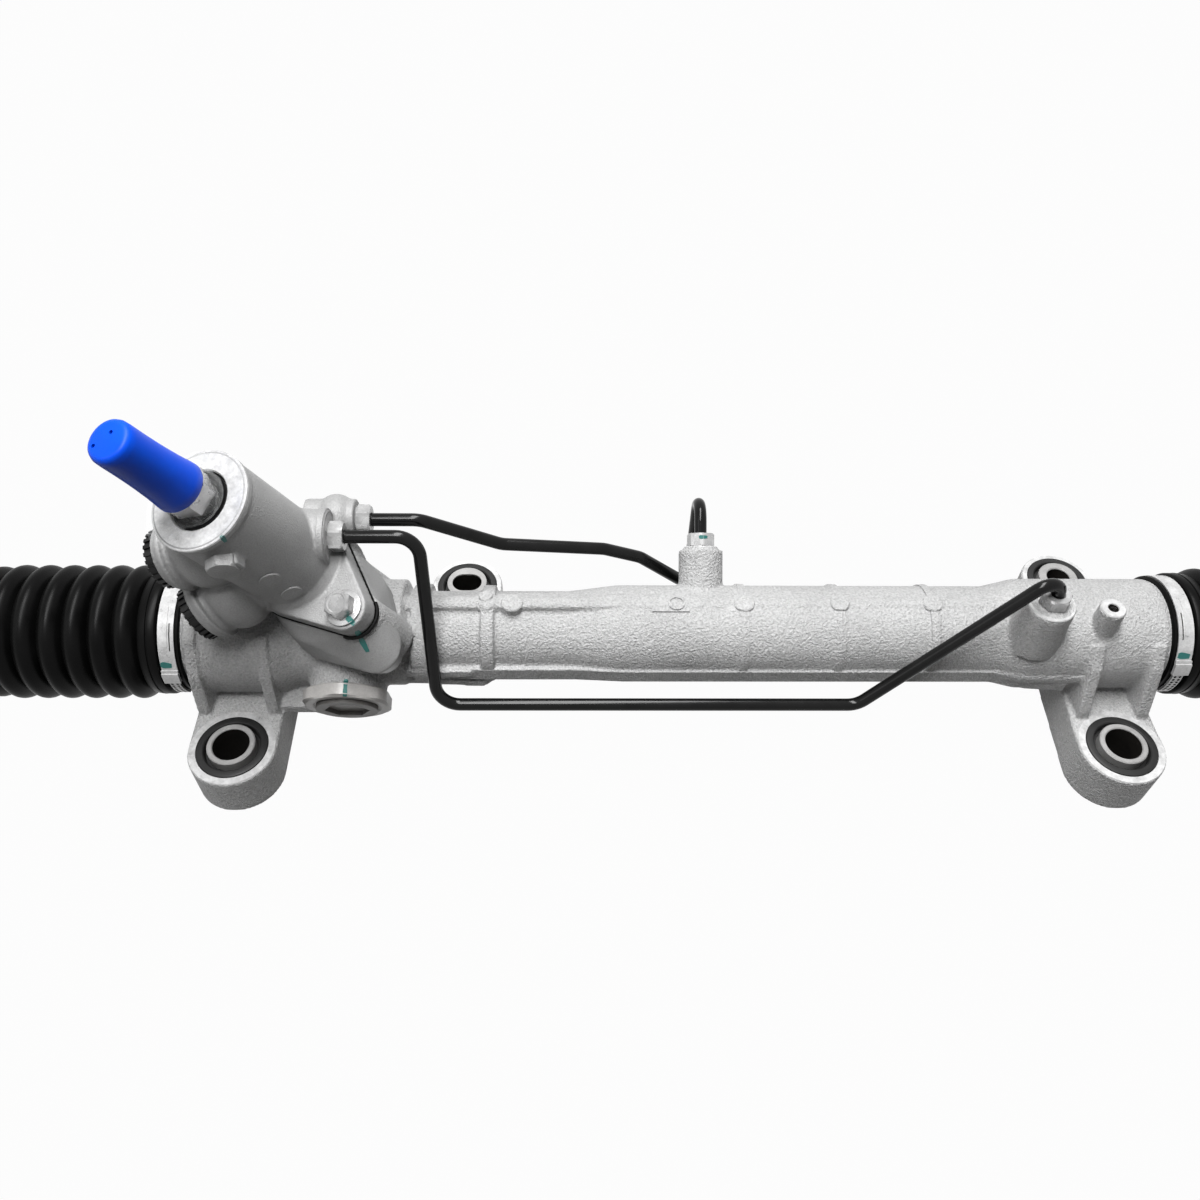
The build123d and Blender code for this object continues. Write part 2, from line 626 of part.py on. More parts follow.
with BuildPart() as valve_housing_gasket:
    with BuildSketch(pinion_plane.offset(FLANGE_L)):
        Circle(FLANGE_CORE_R - 0.4)
        with Locations(*bolt_places):
            Circle(LOBE_R - 0.4)
        make_hull()
        Circle(UPPER_BEARING_R, mode=Mode.SUBTRACT)
        with Locations(*bolt_places):
            Circle(BOLT_R + 0.3, mode=Mode.SUBTRACT)
    extrude(amount=GASKET_T)
finish(valve_housing_gasket, "valve_housing_gasket")

with BuildPart() as valve_housing_bolts:
    with BuildSketch(pinion_plane.offset(FLANGE_L + FLANGE_T)):
        with Locations(*bolt_places):
            Circle(8.0)
    extrude(amount=1.6)
    with BuildSketch(pinion_plane.offset(FLANGE_L + FLANGE_T)):
        with Locations(*bolt_places):
            RegularPolygon(6.0, 6, major_radius=False)
    extrude(amount=8.0)
    with BuildSketch(pinion_plane.offset(FLANGE_L - 18)):
        with Locations(*bolt_places):
            Circle(BOLT_R)
    extrude(amount=FLANGE_T + 18)
finish(valve_housing_bolts, "valve_housing_bolts")

# Feed port plugs: knurled shipping plugs in the pressure and return ports
for port, name in [(pressure_port_plane, "pressure_port_plug"), (return_port_plane, "return_port_plug")]:
    with BuildPart() as plug:
        with BuildSketch(port):
            Circle(PLUG_R)
            with PolarLocations(PLUG_R + 0.2, 24):
                Rectangle(1.4, 1.8)
        extrude(amount=PLUG_FLANGE_T)
        disc(port.offset(-10), FEED_BORE_R, 10)
        disc(port.offset(-11), FEED_BORE_R - 2, PLUG_FLANGE_T + 12, mode=Mode.SUBTRACT)
        disc(port.offset(PLUG_FLANGE_T - 1), FEED_BORE_R, 1)
    finish(plug, name)

# Union nuts: four alike, one on each end of the two pipes
with BuildPart() as pipe_union_nuts:
    for port in PIPE_PORTS:
        disc(port.offset(0.3 - UNION_THREAD), UNION_R, UNION_THREAD)
        disc(port, NUT_AF / 2 + 0.6, 1.0)
        hexagon(port.offset(1.0), NUT_AF, NUT_H - 1.0)
        disc(port.offset(-9), PIPE_R, NUT_H + 10, mode=Mode.SUBTRACT)
finish(pipe_union_nuts, "pipe_union_nuts")


def pipe(name, points, radii, start_plane):
    """A hydraulic pipe: straight runs joined by tangent bends."""
    with BuildPart() as tube:
        with BuildLine() as route:
            FilletPolyline(*points, radius=radii)
        with BuildSketch(start_plane):
            Circle(PIPE_R)
            Circle(PIPE_R - PIPE_WALL, mode=Mode.SUBTRACT)
        sweep(path=route.wires()[0])
    finish(tube, name)


low_start = low_port_plane.origin - low_port_plane.z_dir * PIPE_IN
high_start = high_port_plane.origin - high_port_plane.z_dir * PIPE_IN
mid_end = mid_port_plane.origin - mid_port_plane.z_dir * PIPE_IN
far_end = far_port_plane.origin - far_port_plane.z_dir * PIPE_IN
PIPE_BEND = 12.0
pipe(
    "lower_transfer_pipe",
    [
        low_start,
        Vector(98.0, LOW_PORT_Y, LOW_PORT_Z),
        Vector(101.3, 21.0, 35.0),
        Vector(far_port_x - 88.5, 20.5, 35.5),
        Vector(far_port_x, FAR_PORT_Y, FAR_PORT_TOP + 25.0),
        far_end,
    ],
    [11.0, PIPE_BEND, PIPE_BEND, 8.0],
    Plane(origin=low_start, z_dir=low_port_plane.z_dir),
)
loop_corner = mid_port_plane.origin + mid_port_plane.z_dir * (NUT_H + 28.0)
loop_low_z = RACK_Z - 4.0


def upper_route(share, y, fall):
    """A corner of the upper pipe: its share of the way in X, its Y, and how far it has dropped."""
    x = HIGH_PORT_X + (mid_port_x - HIGH_PORT_X) * share
    return Vector(x, y, HIGH_PORT_Z - (HIGH_PORT_Z - loop_low_z) * fall)


pipe(
    "upper_transfer_pipe",
    [
        high_start,
        upper_route(0.175, HIGH_PORT_Y, 0.0),
        upper_route(0.398, 80.0, 0.342),
        upper_route(0.702, 85.0, 0.463),
        upper_route(0.815, 88.0, 0.597),
        upper_route(0.965, 93.0, 0.958),
        Vector(mid_port_x, loop_corner.Y, loop_low_z),
        loop_corner,
        mid_end,
    ],
    [PIPE_BEND, PIPE_BEND, PIPE_BEND, PIPE_BEND, 9.0, 9.0, 10.0],
    Plane(origin=high_start, z_dir=high_port_plane.z_dir),
)

# Rack guide: saddle, its slippery pad, spring, plug and lock nut
SPRING_WIRE_R = 1.1
guide_tail = 26.0
plug_start = 28.0
with BuildPart() as rack_guide:
    disc(yoke_plane.offset(5), GUIDE_R, guide_tail - 5)
    disc(rack_plane.offset(PINION_X - 20), BAR_R + 0.9, 40, mode=Mode.SUBTRACT)
    disc(yoke_plane.offset(18), 7.5, 10, mode=Mode.SUBTRACT)
finish(rack_guide, "rack_guide")

with BuildPart() as rack_guide_pad:
    disc(yoke_plane.offset(5), GUIDE_R - 1, guide_tail - 8)
    disc(rack_plane.offset(PINION_X - 20), BAR_R + 0.9, 40, mode=Mode.INTERSECT)
    disc(rack_plane.offset(PINION_X - 20), BAR_R + RUN_GAP, 40, mode=Mode.SUBTRACT)
finish(rack_guide_pad, "rack_guide_pad")

with BuildPart() as rack_guide_spring:
    coil_start = rack_centre + to_yoke * (18 + SPRING_WIRE_R + 0.1)
    coil_height = plug_start - 18 - 2 * SPRING_WIRE_R - 0.2
    with BuildLine() as coil:
        Helix(coil_height / 2.5, coil_height, 5.6, center=coil_start, direction=to_yoke)
    with BuildSketch(Plane(origin=coil.line @ 0, z_dir=coil.line % 0)):
        Circle(SPRING_WIRE_R)
    sweep(path=coil.line, is_frenet=True)
finish(rack_guide_spring, "rack_guide_spring")

with BuildPart() as rack_guide_plug:
    disc(yoke_plane.offset(plug_start), GUIDE_R + 1.5, YOKE_BOSS_LEN + LOCK_NUT_H + 1.5 - plug_start)
    hexagon(yoke_plane.offset(YOKE_BOSS_LEN + 1), PLUG_SOCKET_AF, 10, mode=Mode.SUBTRACT)
finish(rack_guide_plug, "rack_guide_plug")

with BuildPart() as rack_guide_lock_nut:
    hexagon(yoke_plane.offset(YOKE_BOSS_LEN), LOCK_NUT_AF, LOCK_NUT_H)
    disc(yoke_plane.offset(YOKE_BOSS_LEN), LOCK_NUT_AF / 2 + 1.6, LOCK_NUT_H, mode=Mode.INTERSECT)
    disc(yoke_plane.offset(YOKE_BOSS_LEN - 1), GUIDE_R + 1.5, LOCK_NUT_H + 2, mode=Mode.SUBTRACT)
finish(rack_guide_lock_nut, "rack_guide_lock_nut")

# Seals and bearings of the rack bar
with BuildPart() as rack_rod_seal:
    disc(rack_plane.offset(cylinder_start - SEAL_LEN), SEAL_POCKET_R, SEAL_LEN)
    disc(rack_plane.offset(cylinder_start - SEAL_LEN - 1), BAR_R + RUN_GAP, SEAL_LEN + 2, mode=Mode.SUBTRACT)
finish(rack_rod_seal, "rack_rod_seal")

with BuildPart() as rack_seal_washer:
    disc(rack_plane.offset(cylinder_start - SEAL_LEN - 4), SEAL_POCKET_R, 4)
    disc(rack_plane.offset(cylinder_start - SEAL_LEN - 5), BAR_R + 0.4, 6, mode=Mode.SUBTRACT)
finish(rack_seal_washer, "rack_seal_washer")

with BuildPart() as rack_end_bush:
    disc(rack_plane.offset(end_bush_x), CYLINDER_R, END_BUSH_LEN)
    disc(rack_plane.offset(end_bush_x - 1), BAR_R + RUN_GAP, END_BUSH_LEN + 2, mode=Mode.SUBTRACT)
    disc(rack_plane.offset(end_bush_x - 1), BAR_R + 5, 9, mode=Mode.SUBTRACT)
finish(rack_end_bush, "rack_end_bush")

with BuildPart() as rack_end_seal:
    disc(rack_plane.offset(end_bush_x), BAR_R + 5, 8)
    disc(rack_plane.offset(end_bush_x - 1), BAR_R + RUN_GAP, 10, mode=Mode.SUBTRACT)
finish(rack_end_seal, "rack_end_seal")

with BuildPart() as end_bush_retaining_ring:
    disc(rack_plane.offset(end_bush_x + END_BUSH_LEN), CYLINDER_R, 2.0)
    disc(rack_plane.offset(end_bush_x + END_BUSH_LEN - 1), CYLINDER_R - 3, 4, mode=Mode.SUBTRACT)
finish(end_bush_retaining_ring, "end_bush_retaining_ring")

# Rack bar with its teeth, piston and piston ring
rack_pitch = pi * MODULE / cos(lean)
pinion_pitch_r = MODULE * PINION_TEETH / 2
pitch_line = PINION_OFFSET - pinion_pitch_r
tip_line = pitch_line + RACK_ADDENDUM
root_line = pitch_line - RACK_DEDENDUM
tooth_slope = tan(radians(PRESSURE_ANGLE))
TOOTH_MARGIN = 10.0
tooth_gaps = 2 * int((TRAVEL + TOOTH_MARGIN) / rack_pitch) + 1
STUD_R = 8.0
STUD_LEN = 20.0
with BuildPart() as rack_bar:
    disc(rack_plane.offset(bar_left), BAR_R, bar_right - bar_left)
    # Flat along the teeth
    flat_half = tooth_gaps * rack_pitch / 2
    with BuildSketch(yoke_plane.offset(-tip_line)) as flat:
        Rectangle(2 * flat_half, 2 * BAR_R + 2)
    extrude(flat.sketch, amount=-BAR_R, mode=Mode.SUBTRACT)
    # Tooth gaps run parallel to the pinion axis
    gap_plane = Plane(origin=rack_centre, x_dir=pinion_side, z_dir=pinion_dir)
    gap_half = pi * MODULE / 4 + TOOTH_BACKLASH / 2
    top_y = tip_line + 1
    with BuildSketch(gap_plane.offset(-20)) as gap:
        with BuildLine():
            Polyline(
                (-gap_half + (pitch_line - root_line) * tooth_slope, root_line),
                (gap_half - (pitch_line - root_line) * tooth_slope, root_line),
                (gap_half + (top_y - pitch_line) * tooth_slope, top_y),
                (-gap_half - (top_y - pitch_line) * tooth_slope, top_y),
                close=True,
            )
        make_face()
    one_gap = extrude(gap.sketch, amount=40, mode=Mode.PRIVATE)
    for n in range(tooth_gaps):
        shift = (n - (tooth_gaps - 1) / 2) * rack_pitch
        add(one_gap.moved(Location((shift, 0, 0))), mode=Mode.SUBTRACT)
    # Tapped ends for the inner joints
    disc(rack_plane.offset(bar_left - 1), STUD_R, STUD_LEN + 1, mode=Mode.SUBTRACT)
    disc(rack_plane.offset(bar_right - STUD_LEN), STUD_R, STUD_LEN + 1, mode=Mode.SUBTRACT)
finish(rack_bar, "rack_bar")

piston_r = CYLINDER_R - PISTON_GAP
RING_W = 5.0
RING_DEPTH = 2.0
with BuildPart() as piston:
    disc(rack_plane.offset(piston_x - PISTON_LEN / 2), piston_r, PISTON_LEN)
    disc(rack_plane.offset(piston_x - PISTON_LEN), BAR_R, 2 * PISTON_LEN, mode=Mode.SUBTRACT)
    with BuildSketch(rack_plane.offset(piston_x - RING_W / 2)) as groove:
        Circle(piston_r + 1)
        Circle(piston_r - RING_DEPTH, mode=Mode.SUBTRACT)
    extrude(groove.sketch, amount=RING_W, mode=Mode.SUBTRACT)
finish(piston, "piston")

with BuildPart() as piston_ring:
    disc(rack_plane.offset(piston_x - RING_W / 2), CYLINDER_R - RUN_GAP, RING_W)
    disc(rack_plane.offset(piston_x - RING_W), piston_r - RING_DEPTH, 2 * RING_W, mode=Mode.SUBTRACT)
finish(piston_ring, "piston_ring")

# Pinion: involute teeth between two journals
base_r = pinion_pitch_r * cos(radians(PRESSURE_ANGLE))
tip_r = pinion_pitch_r + PINION_ADDENDUM
root_r = pinion_pitch_r - PINION_DEDENDUM
FLANK_STEPS = 6


def involute(angle):
    """The involute function of a pressure angle in radians."""
    return tan(angle) - angle


def flank_points():
    """Half of one tooth: polar points of the flank from the base circle to the tip."""
    half_tooth = (pi * MODULE / 2 - TOOTH_BACKLASH) / (2 * pinion_pitch_r)
    half_tooth += involute(radians(PRESSURE_ANGLE))
    points = []
    for n in range(FLANK_STEPS + 1):
        r = base_r + (tip_r - base_r) * n / FLANK_STEPS
        points.append((r, half_tooth - involute(acos(base_r / r))))
    return points


with BuildPart() as pinion_gear:
    flank = flank_points()
    low_side = [(root_r - 0.3, flank[0][1])] + flank
    outline = [(r, -a) for r, a in low_side] + [(r, a) for r, a in reversed(low_side)]
    with BuildSketch(pinion_plane.offset(-GEAR_HALF)):
        Circle(root_r)
        for n in range(PINION_TEETH):
            turn = 2 * pi * n / PINION_TEETH - pi / 2
            with BuildLine():
                Polyline(*[(r * cos(a + turn), r * sin(a + turn)) for r, a in outline], close=True)
            make_face()
    extrude(amount=2 * GEAR_HALF)
    turned(
        pinion_profile,
        pinion_axis,
        [
            (0, lower_bearing_l),
            (JOURNAL_R, lower_bearing_l),
            (JOURNAL_R, -GEAR_HALF),
            (0, -GEAR_HALF),
        ],
    )
    turned(
        pinion_profile,
        pinion_axis,
        [
            (0, GEAR_HALF),
            (UPPER_JOURNAL_R - 1.5, GEAR_HALF),
            (UPPER_JOURNAL_R - 1.5, upper_bearing_l - 2),
            (UPPER_JOURNAL_R, upper_bearing_l - 2),
            (UPPER_JOURNAL_R, upper_bearing_l + UPPER_BEARING_W + 2),
            (VALVE_BORE_R - 4.5, upper_bearing_l + UPPER_BEARING_W + 4),
            (VALVE_BORE_R - 4.5, FLANGE_L + 10),
            (0, FLANGE_L + 10),
        ],
    )
    disc(pinion_plane.offset(FLANGE_L - 8), TORSION_R, 20, mode=Mode.SUBTRACT)
finish(pinion_gear, "pinion_gear")

# Bearings of the pinion: a ball race above the teeth and a needle bush below
with BuildPart() as pinion_upper_bearing:
    turned(
        pinion_profile,
        pinion_axis,
        [
            (UPPER_JOURNAL_R + RUN_GAP, upper_bearing_l),
            (UPPER_BEARING_R, upper_bearing_l),
            (UPPER_BEARING_R, upper_bearing_l + UPPER_BEARING_W),
            (UPPER_JOURNAL_R + RUN_GAP, upper_bearing_l + UPPER_BEARING_W),
        ],
    )
finish(pinion_upper_bearing, "pinion_upper_bearing")

with BuildPart() as pinion_lower_bearing:
    disc(pinion_plane.offset(lower_bearing_l), LOWER_BEARING_R, LOWER_BEARING_W)
    journal_plane = pinion_plane.offset(lower_bearing_l - 1)
    disc(journal_plane, JOURNAL_R + RUN_GAP, LOWER_BEARING_W + 2, mode=Mode.SUBTRACT)
finish(pinion_lower_bearing, "pinion_lower_bearing")

# Rotary valve: slotted sleeve with its rings, the input shaft inside it and the torsion bar
sleeve_top = shaft_bearing_l - 5.0
sleeve_bottom = FLANGE_L + 4.0
SLEEVE_GAP = 0.4
VALVE_RING_DEPTH = 1.5
VALVE_RING_W = 2.4
valve_ring_floor = VALVE_BORE_R - SLEEVE_GAP - VALVE_RING_DEPTH
valve_ring_places = [sleeve_bottom + 8 + n * (sleeve_top - sleeve_bottom - 16) / 3 for n in range(4)]
with BuildPart() as valve_sleeve:
    disc(pinion_plane.offset(sleeve_bottom), VALVE_BORE_R - SLEEVE_GAP, sleeve_top - sleeve_bottom)
    spigot_depth = FLANGE_L + 10 - sleeve_bottom
    disc(pinion_plane.offset(sleeve_bottom - 1), VALVE_BORE_R - 4.5, spigot_depth + 1, mode=Mode.SUBTRACT)
    disc(pinion_plane.offset(sleeve_bottom), SHAFT_R + 1.5 + RUN_GAP, sleeve_top, mode=Mode.SUBTRACT)
    for place in valve_ring_places:
        with BuildSketch(pinion_plane.offset(place - VALVE_RING_W / 2)) as ring_groove:
            Circle(VALVE_BORE_R)
            Circle(valve_ring_floor, mode=Mode.SUBTRACT)
        extrude(ring_groove.sketch, amount=VALVE_RING_W, mode=Mode.SUBTRACT)
finish(valve_sleeve, "valve_sleeve")

with BuildPart() as valve_sleeve_rings:
    for place in valve_ring_places:
        with BuildSketch(pinion_plane.offset(place - VALVE_RING_W / 2)) as sealing_ring:
            Circle(VALVE_BORE_R - RUN_GAP)
            Circle(valve_ring_floor, mode=Mode.SUBTRACT)
        extrude(sealing_ring.sketch, amount=VALVE_RING_W)
finish(valve_sleeve_rings, "valve_sleeve_rings")

with BuildPart() as torsion_bar:
    disc(pinion_plane.offset(FLANGE_L - 8), TORSION_R, CAP_START - FLANGE_L + 20)
finish(torsion_bar, "torsion_bar")

shaft_end = CAP_END - 5.0
with BuildPart() as input_shaft:
    turned(
        pinion_profile,
        pinion_axis,
        [
            (TORSION_R + TWIST_GAP, FLANGE_L + 12),
            (SHAFT_R + 1.5, FLANGE_L + 12),
            (SHAFT_R + 1.5, shaft_bearing_l - 6),
            (SHAFT_R, shaft_bearing_l - 4),
            (SHAFT_R, TOWER_TOP + 4),
            (SHAFT_R - 0.8, TOWER_TOP + 6),
            (SHAFT_R - 0.8, shaft_end - 1),
            (SHAFT_R - 1.8, shaft_end),
            (TORSION_R + TWIST_GAP, shaft_end),
        ],
    )
    hexagon(pinion_plane.offset(TOWER_TOP + 3), 18.6, CAP_START - TOWER_TOP - 4)
    disc(pinion_plane.offset(TOWER_TOP), TORSION_R + TWIST_GAP, CAP_START - TOWER_TOP, mode=Mode.SUBTRACT)
finish(input_shaft, "input_shaft")

# Bearing and oil seal round the input shaft
with BuildPart() as input_shaft_bearing:
    disc(pinion_plane.offset(shaft_bearing_l), SHAFT_BEARING_R, SHAFT_BEARING_W)
    disc(pinion_plane.offset(shaft_bearing_l - 1), SHAFT_R + RUN_GAP, SHAFT_BEARING_W + 2, mode=Mode.SUBTRACT)
finish(input_shaft_bearing, "input_shaft_bearing")

with BuildPart() as input_shaft_oil_seal:
    turned(
        pinion_profile,
        pinion_axis,
        [
            (SHAFT_R + RUN_GAP, seal_l),
            (SHAFT_SEAL_R, seal_l),
            (SHAFT_SEAL_R, seal_l + SHAFT_SEAL_W),
            (SHAFT_SEAL_R - 1.5, seal_l + SHAFT_SEAL_W),
            (SHAFT_R + RUN_GAP, seal_l + SHAFT_SEAL_W - 3),
        ],
    )
finish(input_shaft_oil_seal, "input_shaft_oil_seal")

# Protective cap over the splines, and its clear sleeve
with BuildPart() as input_shaft_cap:
    turned(
        pinion_profile,
        pinion_axis,
        [
            (SHAFT_R - 0.8, CAP_START),
            (CAP_R + 1.8, CAP_START),
            (CAP_R + 1.2, CAP_START + 8),
            (CAP_R + 0.4, CAP_START + 22),
            (CAP_R, CAP_END - 2),
            (CAP_R - 1.5, CAP_END),
            (0, CAP_END),
            (0, shaft_end + 0.5),
            (SHAFT_R - 0.8, shaft_end + 0.5),
        ],
    )
    for turn in (60, 240):
        hole_x = 5.0 * cos(radians(turn))
        hole_y = 5.0 * sin(radians(turn))
        with BuildSketch(pinion_plane.offset(CAP_END - 3)) as vent:
            with Locations((hole_x, hole_y)):
                Circle(1.2)
        extrude(vent.sketch, amount=4, mode=Mode.SUBTRACT)
finish(input_shaft_cap, "input_shaft_cap")

with BuildPart() as input_shaft_clear_sleeve:
    turned(
        pinion_profile,
        pinion_axis,
        [
            (CAP_R + 2.6, TOWER_TOP + 0.5),
            (CAP_R + 3.2, TOWER_TOP + 0.5),
            (CAP_R + 2.6, CAP_START + 5),
            (CAP_R + 2.0, CAP_START + 5),
        ],
    )
finish(input_shaft_clear_sleeve, "input_shaft_clear_sleeve")


# Inner joints, tie rods, boots and clamps, the same at both ends
def end_plane(side, x):
    """A plane across the rack axis at x, facing outward on that side."""
    return Plane(origin=(x, RACK_Y, RACK_Z), x_dir=(0, 1, 0), z_dir=(side, 0, 0))


def end_profile(side, x):
    """The half section plane of a turned end piece, with X outward from x."""
    return Plane(origin=(x, RACK_Y, RACK_Z), x_dir=(side, 0, 0), z_dir=(0, -side, 0))


def end_axis(side):
    """The rack axis, pointing inward on that side."""
    return Axis((0, RACK_Y, RACK_Z), (-side, 0, 0))


def turned_ball(plane, axis, centre, radius, join, points, mode=Mode.ADD):
    """A turned shape that starts as a ball and goes on, from the join, as the given half section."""
    join_r = sqrt(radius**2 - join**2)
    with BuildSketch(plane) as section:
        with BuildLine():
            ThreePointArc((centre - radius, 0), (centre, radius), (centre + join, join_r))
            Polyline((centre + join, join_r), *points, (centre - radius, 0))
        make_face()
    revolve(section.sketch, axis=axis, mode=mode)


def boot_section():
    """Half section of the bellows from its lip outward."""
    outer = [(0.0, SPIGOT_R + BOOT_T), (BOOT_LIP_LEN, SPIGOT_R + BOOT_T)]
    start = BOOT_LIP_LEN + 3.0
    for n in range(BOOT_FOLDS):
        shrink = max(0.0, (n - 6) / (BOOT_FOLDS - 6))
        crest = BOOT_CREST_R - (BOOT_CREST_R - 2.1 * BOOT_SMALL_R) * shrink
        valley = BOOT_VALLEY_R - (BOOT_VALLEY_R - 1.45 * BOOT_SMALL_R) * shrink
        outer.append((start + (n + 0.5) * BOOT_PITCH, crest))
        outer.append((start + (n + 1.0) * BOOT_PITCH, valley))
    tail = start + BOOT_FOLDS * BOOT_PITCH
    outer.append((tail + 5.0, BOOT_SMALL_R))
    outer.append((tail + 15.0, BOOT_SMALL_R))
    inner = [(x, r - BOOT_T * 1.3) for x, r in reversed(outer[2:-2])]
    inner_tail = [(tail + 15.0, ROD_R + RUN_GAP), (tail + 5.0, ROD_R + RUN_GAP)]
    return outer + inner_tail + inner + [(BOOT_LIP_LEN + 0.5, SPIGOT_R + 0.02), (0.0, SPIGOT_R + 0.02)]


BOOT_LIP_GAP = 1.5
small_end = BOOT_LIP_GAP + BOOT_LIP_LEN + 3.0 + BOOT_FOLDS * BOOT_PITCH
for side, end_x, bar_x, end_name in [
    (-1, GEAR_END_X, bar_left, "gear_side"),
    (1, far_end_x, bar_right, "far_side"),
]:
    with BuildPart() as boot:
        turned(end_profile(side, end_x + side * BOOT_LIP_GAP), end_axis(side), boot_section())
    finish(boot, f"{end_name}_boot")

    clamp_r = SPIGOT_R + BOOT_T + SEAT_GAP
    with BuildPart() as clamp:
        clamp_plane = end_plane(side, end_x + side * 3.5)
        disc(clamp_plane, clamp_r + CLAMP_T, CLAMP_W)
        disc(clamp_plane.offset(-1), clamp_r, CLAMP_W + 2, mode=Mode.SUBTRACT)
    finish(clamp, f"{end_name}_boot_clamp")

    with BuildPart() as small_clamp:
        ring_plane = end_plane(side, end_x + side * (small_end + 8.0))
        disc(ring_plane, BOOT_SMALL_R + SEAT_GAP + CLIP_T, CLIP_W)
        disc(ring_plane.offset(-1), BOOT_SMALL_R + SEAT_GAP, CLIP_W + 2, mode=Mode.SUBTRACT)
    finish(small_clamp, f"{end_name}_boot_spring_clip")

    # Inner joint socket, screwed into the rack bar, with its ball seat
    with BuildPart() as socket:
        profile = end_profile(side, bar_x)
        turned(
            profile,
            end_axis(side),
            [
                (-STUD_LEN + 2, 0),
                (-STUD_LEN + 2, STUD_R),
                (0, STUD_R),
                (0, SOCKET_R - 1.5),
                (1.5, SOCKET_R),
                (SOCKET_LEN - 7, SOCKET_R),
                (SOCKET_LEN, SOCKET_R - 3),
                (SOCKET_LEN, 0),
            ],
        )
        with BuildSketch(end_plane(side, bar_x + side * 3)) as flats:
            Rectangle(2 * SOCKET_R + 2, 2 * SOCKET_R + 2)
            Rectangle(2 * SOCKET_R - 3, 2 * SOCKET_R + 4, mode=Mode.SUBTRACT)
        extrude(flats.sketch, amount=9, mode=Mode.SUBTRACT)
        turned_ball(
            profile,
            end_axis(side),
            BALL_SEAT,
            BALL_R + RUN_GAP,
            6.0,
            [(SOCKET_LEN + 1, 13.2), (SOCKET_LEN + 1, 0)],
            mode=Mode.SUBTRACT,
        )
    finish(socket, f"{end_name}_inner_socket")

    # Tie rod: ball, shank, hexagon and outer thread
    with BuildPart() as tie_rod:
        ball_x = bar_x + side * BALL_SEAT
        thread_start = TIE_ROD_REACH - THREAD_LEN
        turned_ball(
            end_profile(side, ball_x),
            end_axis(side),
            0,
            BALL_R,
            sqrt(BALL_R**2 - NECK_ROD_R**2),
            [
                (22, NECK_ROD_R),
                (26, ROD_R),
                (thread_start, ROD_R),
                (thread_start + 1, THREAD_R + NUT_GRIP),
                (thread_start + NUT_STRETCH, THREAD_R + NUT_GRIP),
                (thread_start + NUT_STRETCH + 0.5, THREAD_R),
                (TIE_ROD_REACH - 1.5, THREAD_R),
                (TIE_ROD_REACH, THREAD_R - 1.5),
                (TIE_ROD_REACH, 0),
            ],
        )
        hexagon(end_plane(side, ball_x + side * (thread_start - 24)), 17.0, 14)
    finish(tie_rod, f"{end_name}_tie_rod")

    with BuildPart() as jam_nut:
        nut_plane = end_plane(side, ball_x + side * (thread_start + 8))
        hexagon(nut_plane, JAM_NUT_AF, JAM_NUT_H)
        disc(nut_plane.offset(-1), THREAD_R + NUT_GRIP, JAM_NUT_H + 2, mode=Mode.SUBTRACT)
    finish(jam_nut, f"{end_name}_jam_nut")
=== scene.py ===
import json
import math

import bmesh
import bpy
import numpy as np
from mathutils import Matrix, Vector
from mathutils.bvhtree import BVHTree

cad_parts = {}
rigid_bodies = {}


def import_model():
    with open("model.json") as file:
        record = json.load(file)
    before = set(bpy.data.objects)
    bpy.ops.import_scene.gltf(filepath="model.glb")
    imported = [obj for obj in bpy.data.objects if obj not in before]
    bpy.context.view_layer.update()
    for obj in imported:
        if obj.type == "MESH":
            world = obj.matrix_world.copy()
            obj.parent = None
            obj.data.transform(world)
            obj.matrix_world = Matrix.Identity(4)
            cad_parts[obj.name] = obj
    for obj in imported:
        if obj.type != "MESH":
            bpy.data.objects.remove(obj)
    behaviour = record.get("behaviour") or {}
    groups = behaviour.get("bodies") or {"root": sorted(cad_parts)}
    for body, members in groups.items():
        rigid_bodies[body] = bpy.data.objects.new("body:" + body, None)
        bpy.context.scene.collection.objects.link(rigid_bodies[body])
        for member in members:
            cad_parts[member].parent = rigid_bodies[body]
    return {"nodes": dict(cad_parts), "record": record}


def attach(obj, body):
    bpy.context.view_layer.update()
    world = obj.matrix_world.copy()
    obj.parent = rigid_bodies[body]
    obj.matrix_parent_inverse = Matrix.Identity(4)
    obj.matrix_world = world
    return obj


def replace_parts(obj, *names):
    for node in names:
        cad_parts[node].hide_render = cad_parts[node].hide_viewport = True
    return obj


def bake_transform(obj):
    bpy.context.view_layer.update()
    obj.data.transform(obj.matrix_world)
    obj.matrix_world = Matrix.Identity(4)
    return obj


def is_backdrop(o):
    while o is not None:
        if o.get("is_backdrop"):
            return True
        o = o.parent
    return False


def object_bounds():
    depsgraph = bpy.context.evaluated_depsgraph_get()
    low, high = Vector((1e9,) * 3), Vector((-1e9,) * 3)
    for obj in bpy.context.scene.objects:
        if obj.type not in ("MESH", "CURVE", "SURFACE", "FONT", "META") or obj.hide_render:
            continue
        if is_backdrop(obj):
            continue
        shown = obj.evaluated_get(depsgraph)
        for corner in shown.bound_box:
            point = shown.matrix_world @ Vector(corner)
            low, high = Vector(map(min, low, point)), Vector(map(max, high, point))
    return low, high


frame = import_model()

MM = 0.001
NODES = frame["nodes"]
cad_low, cad_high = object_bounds()

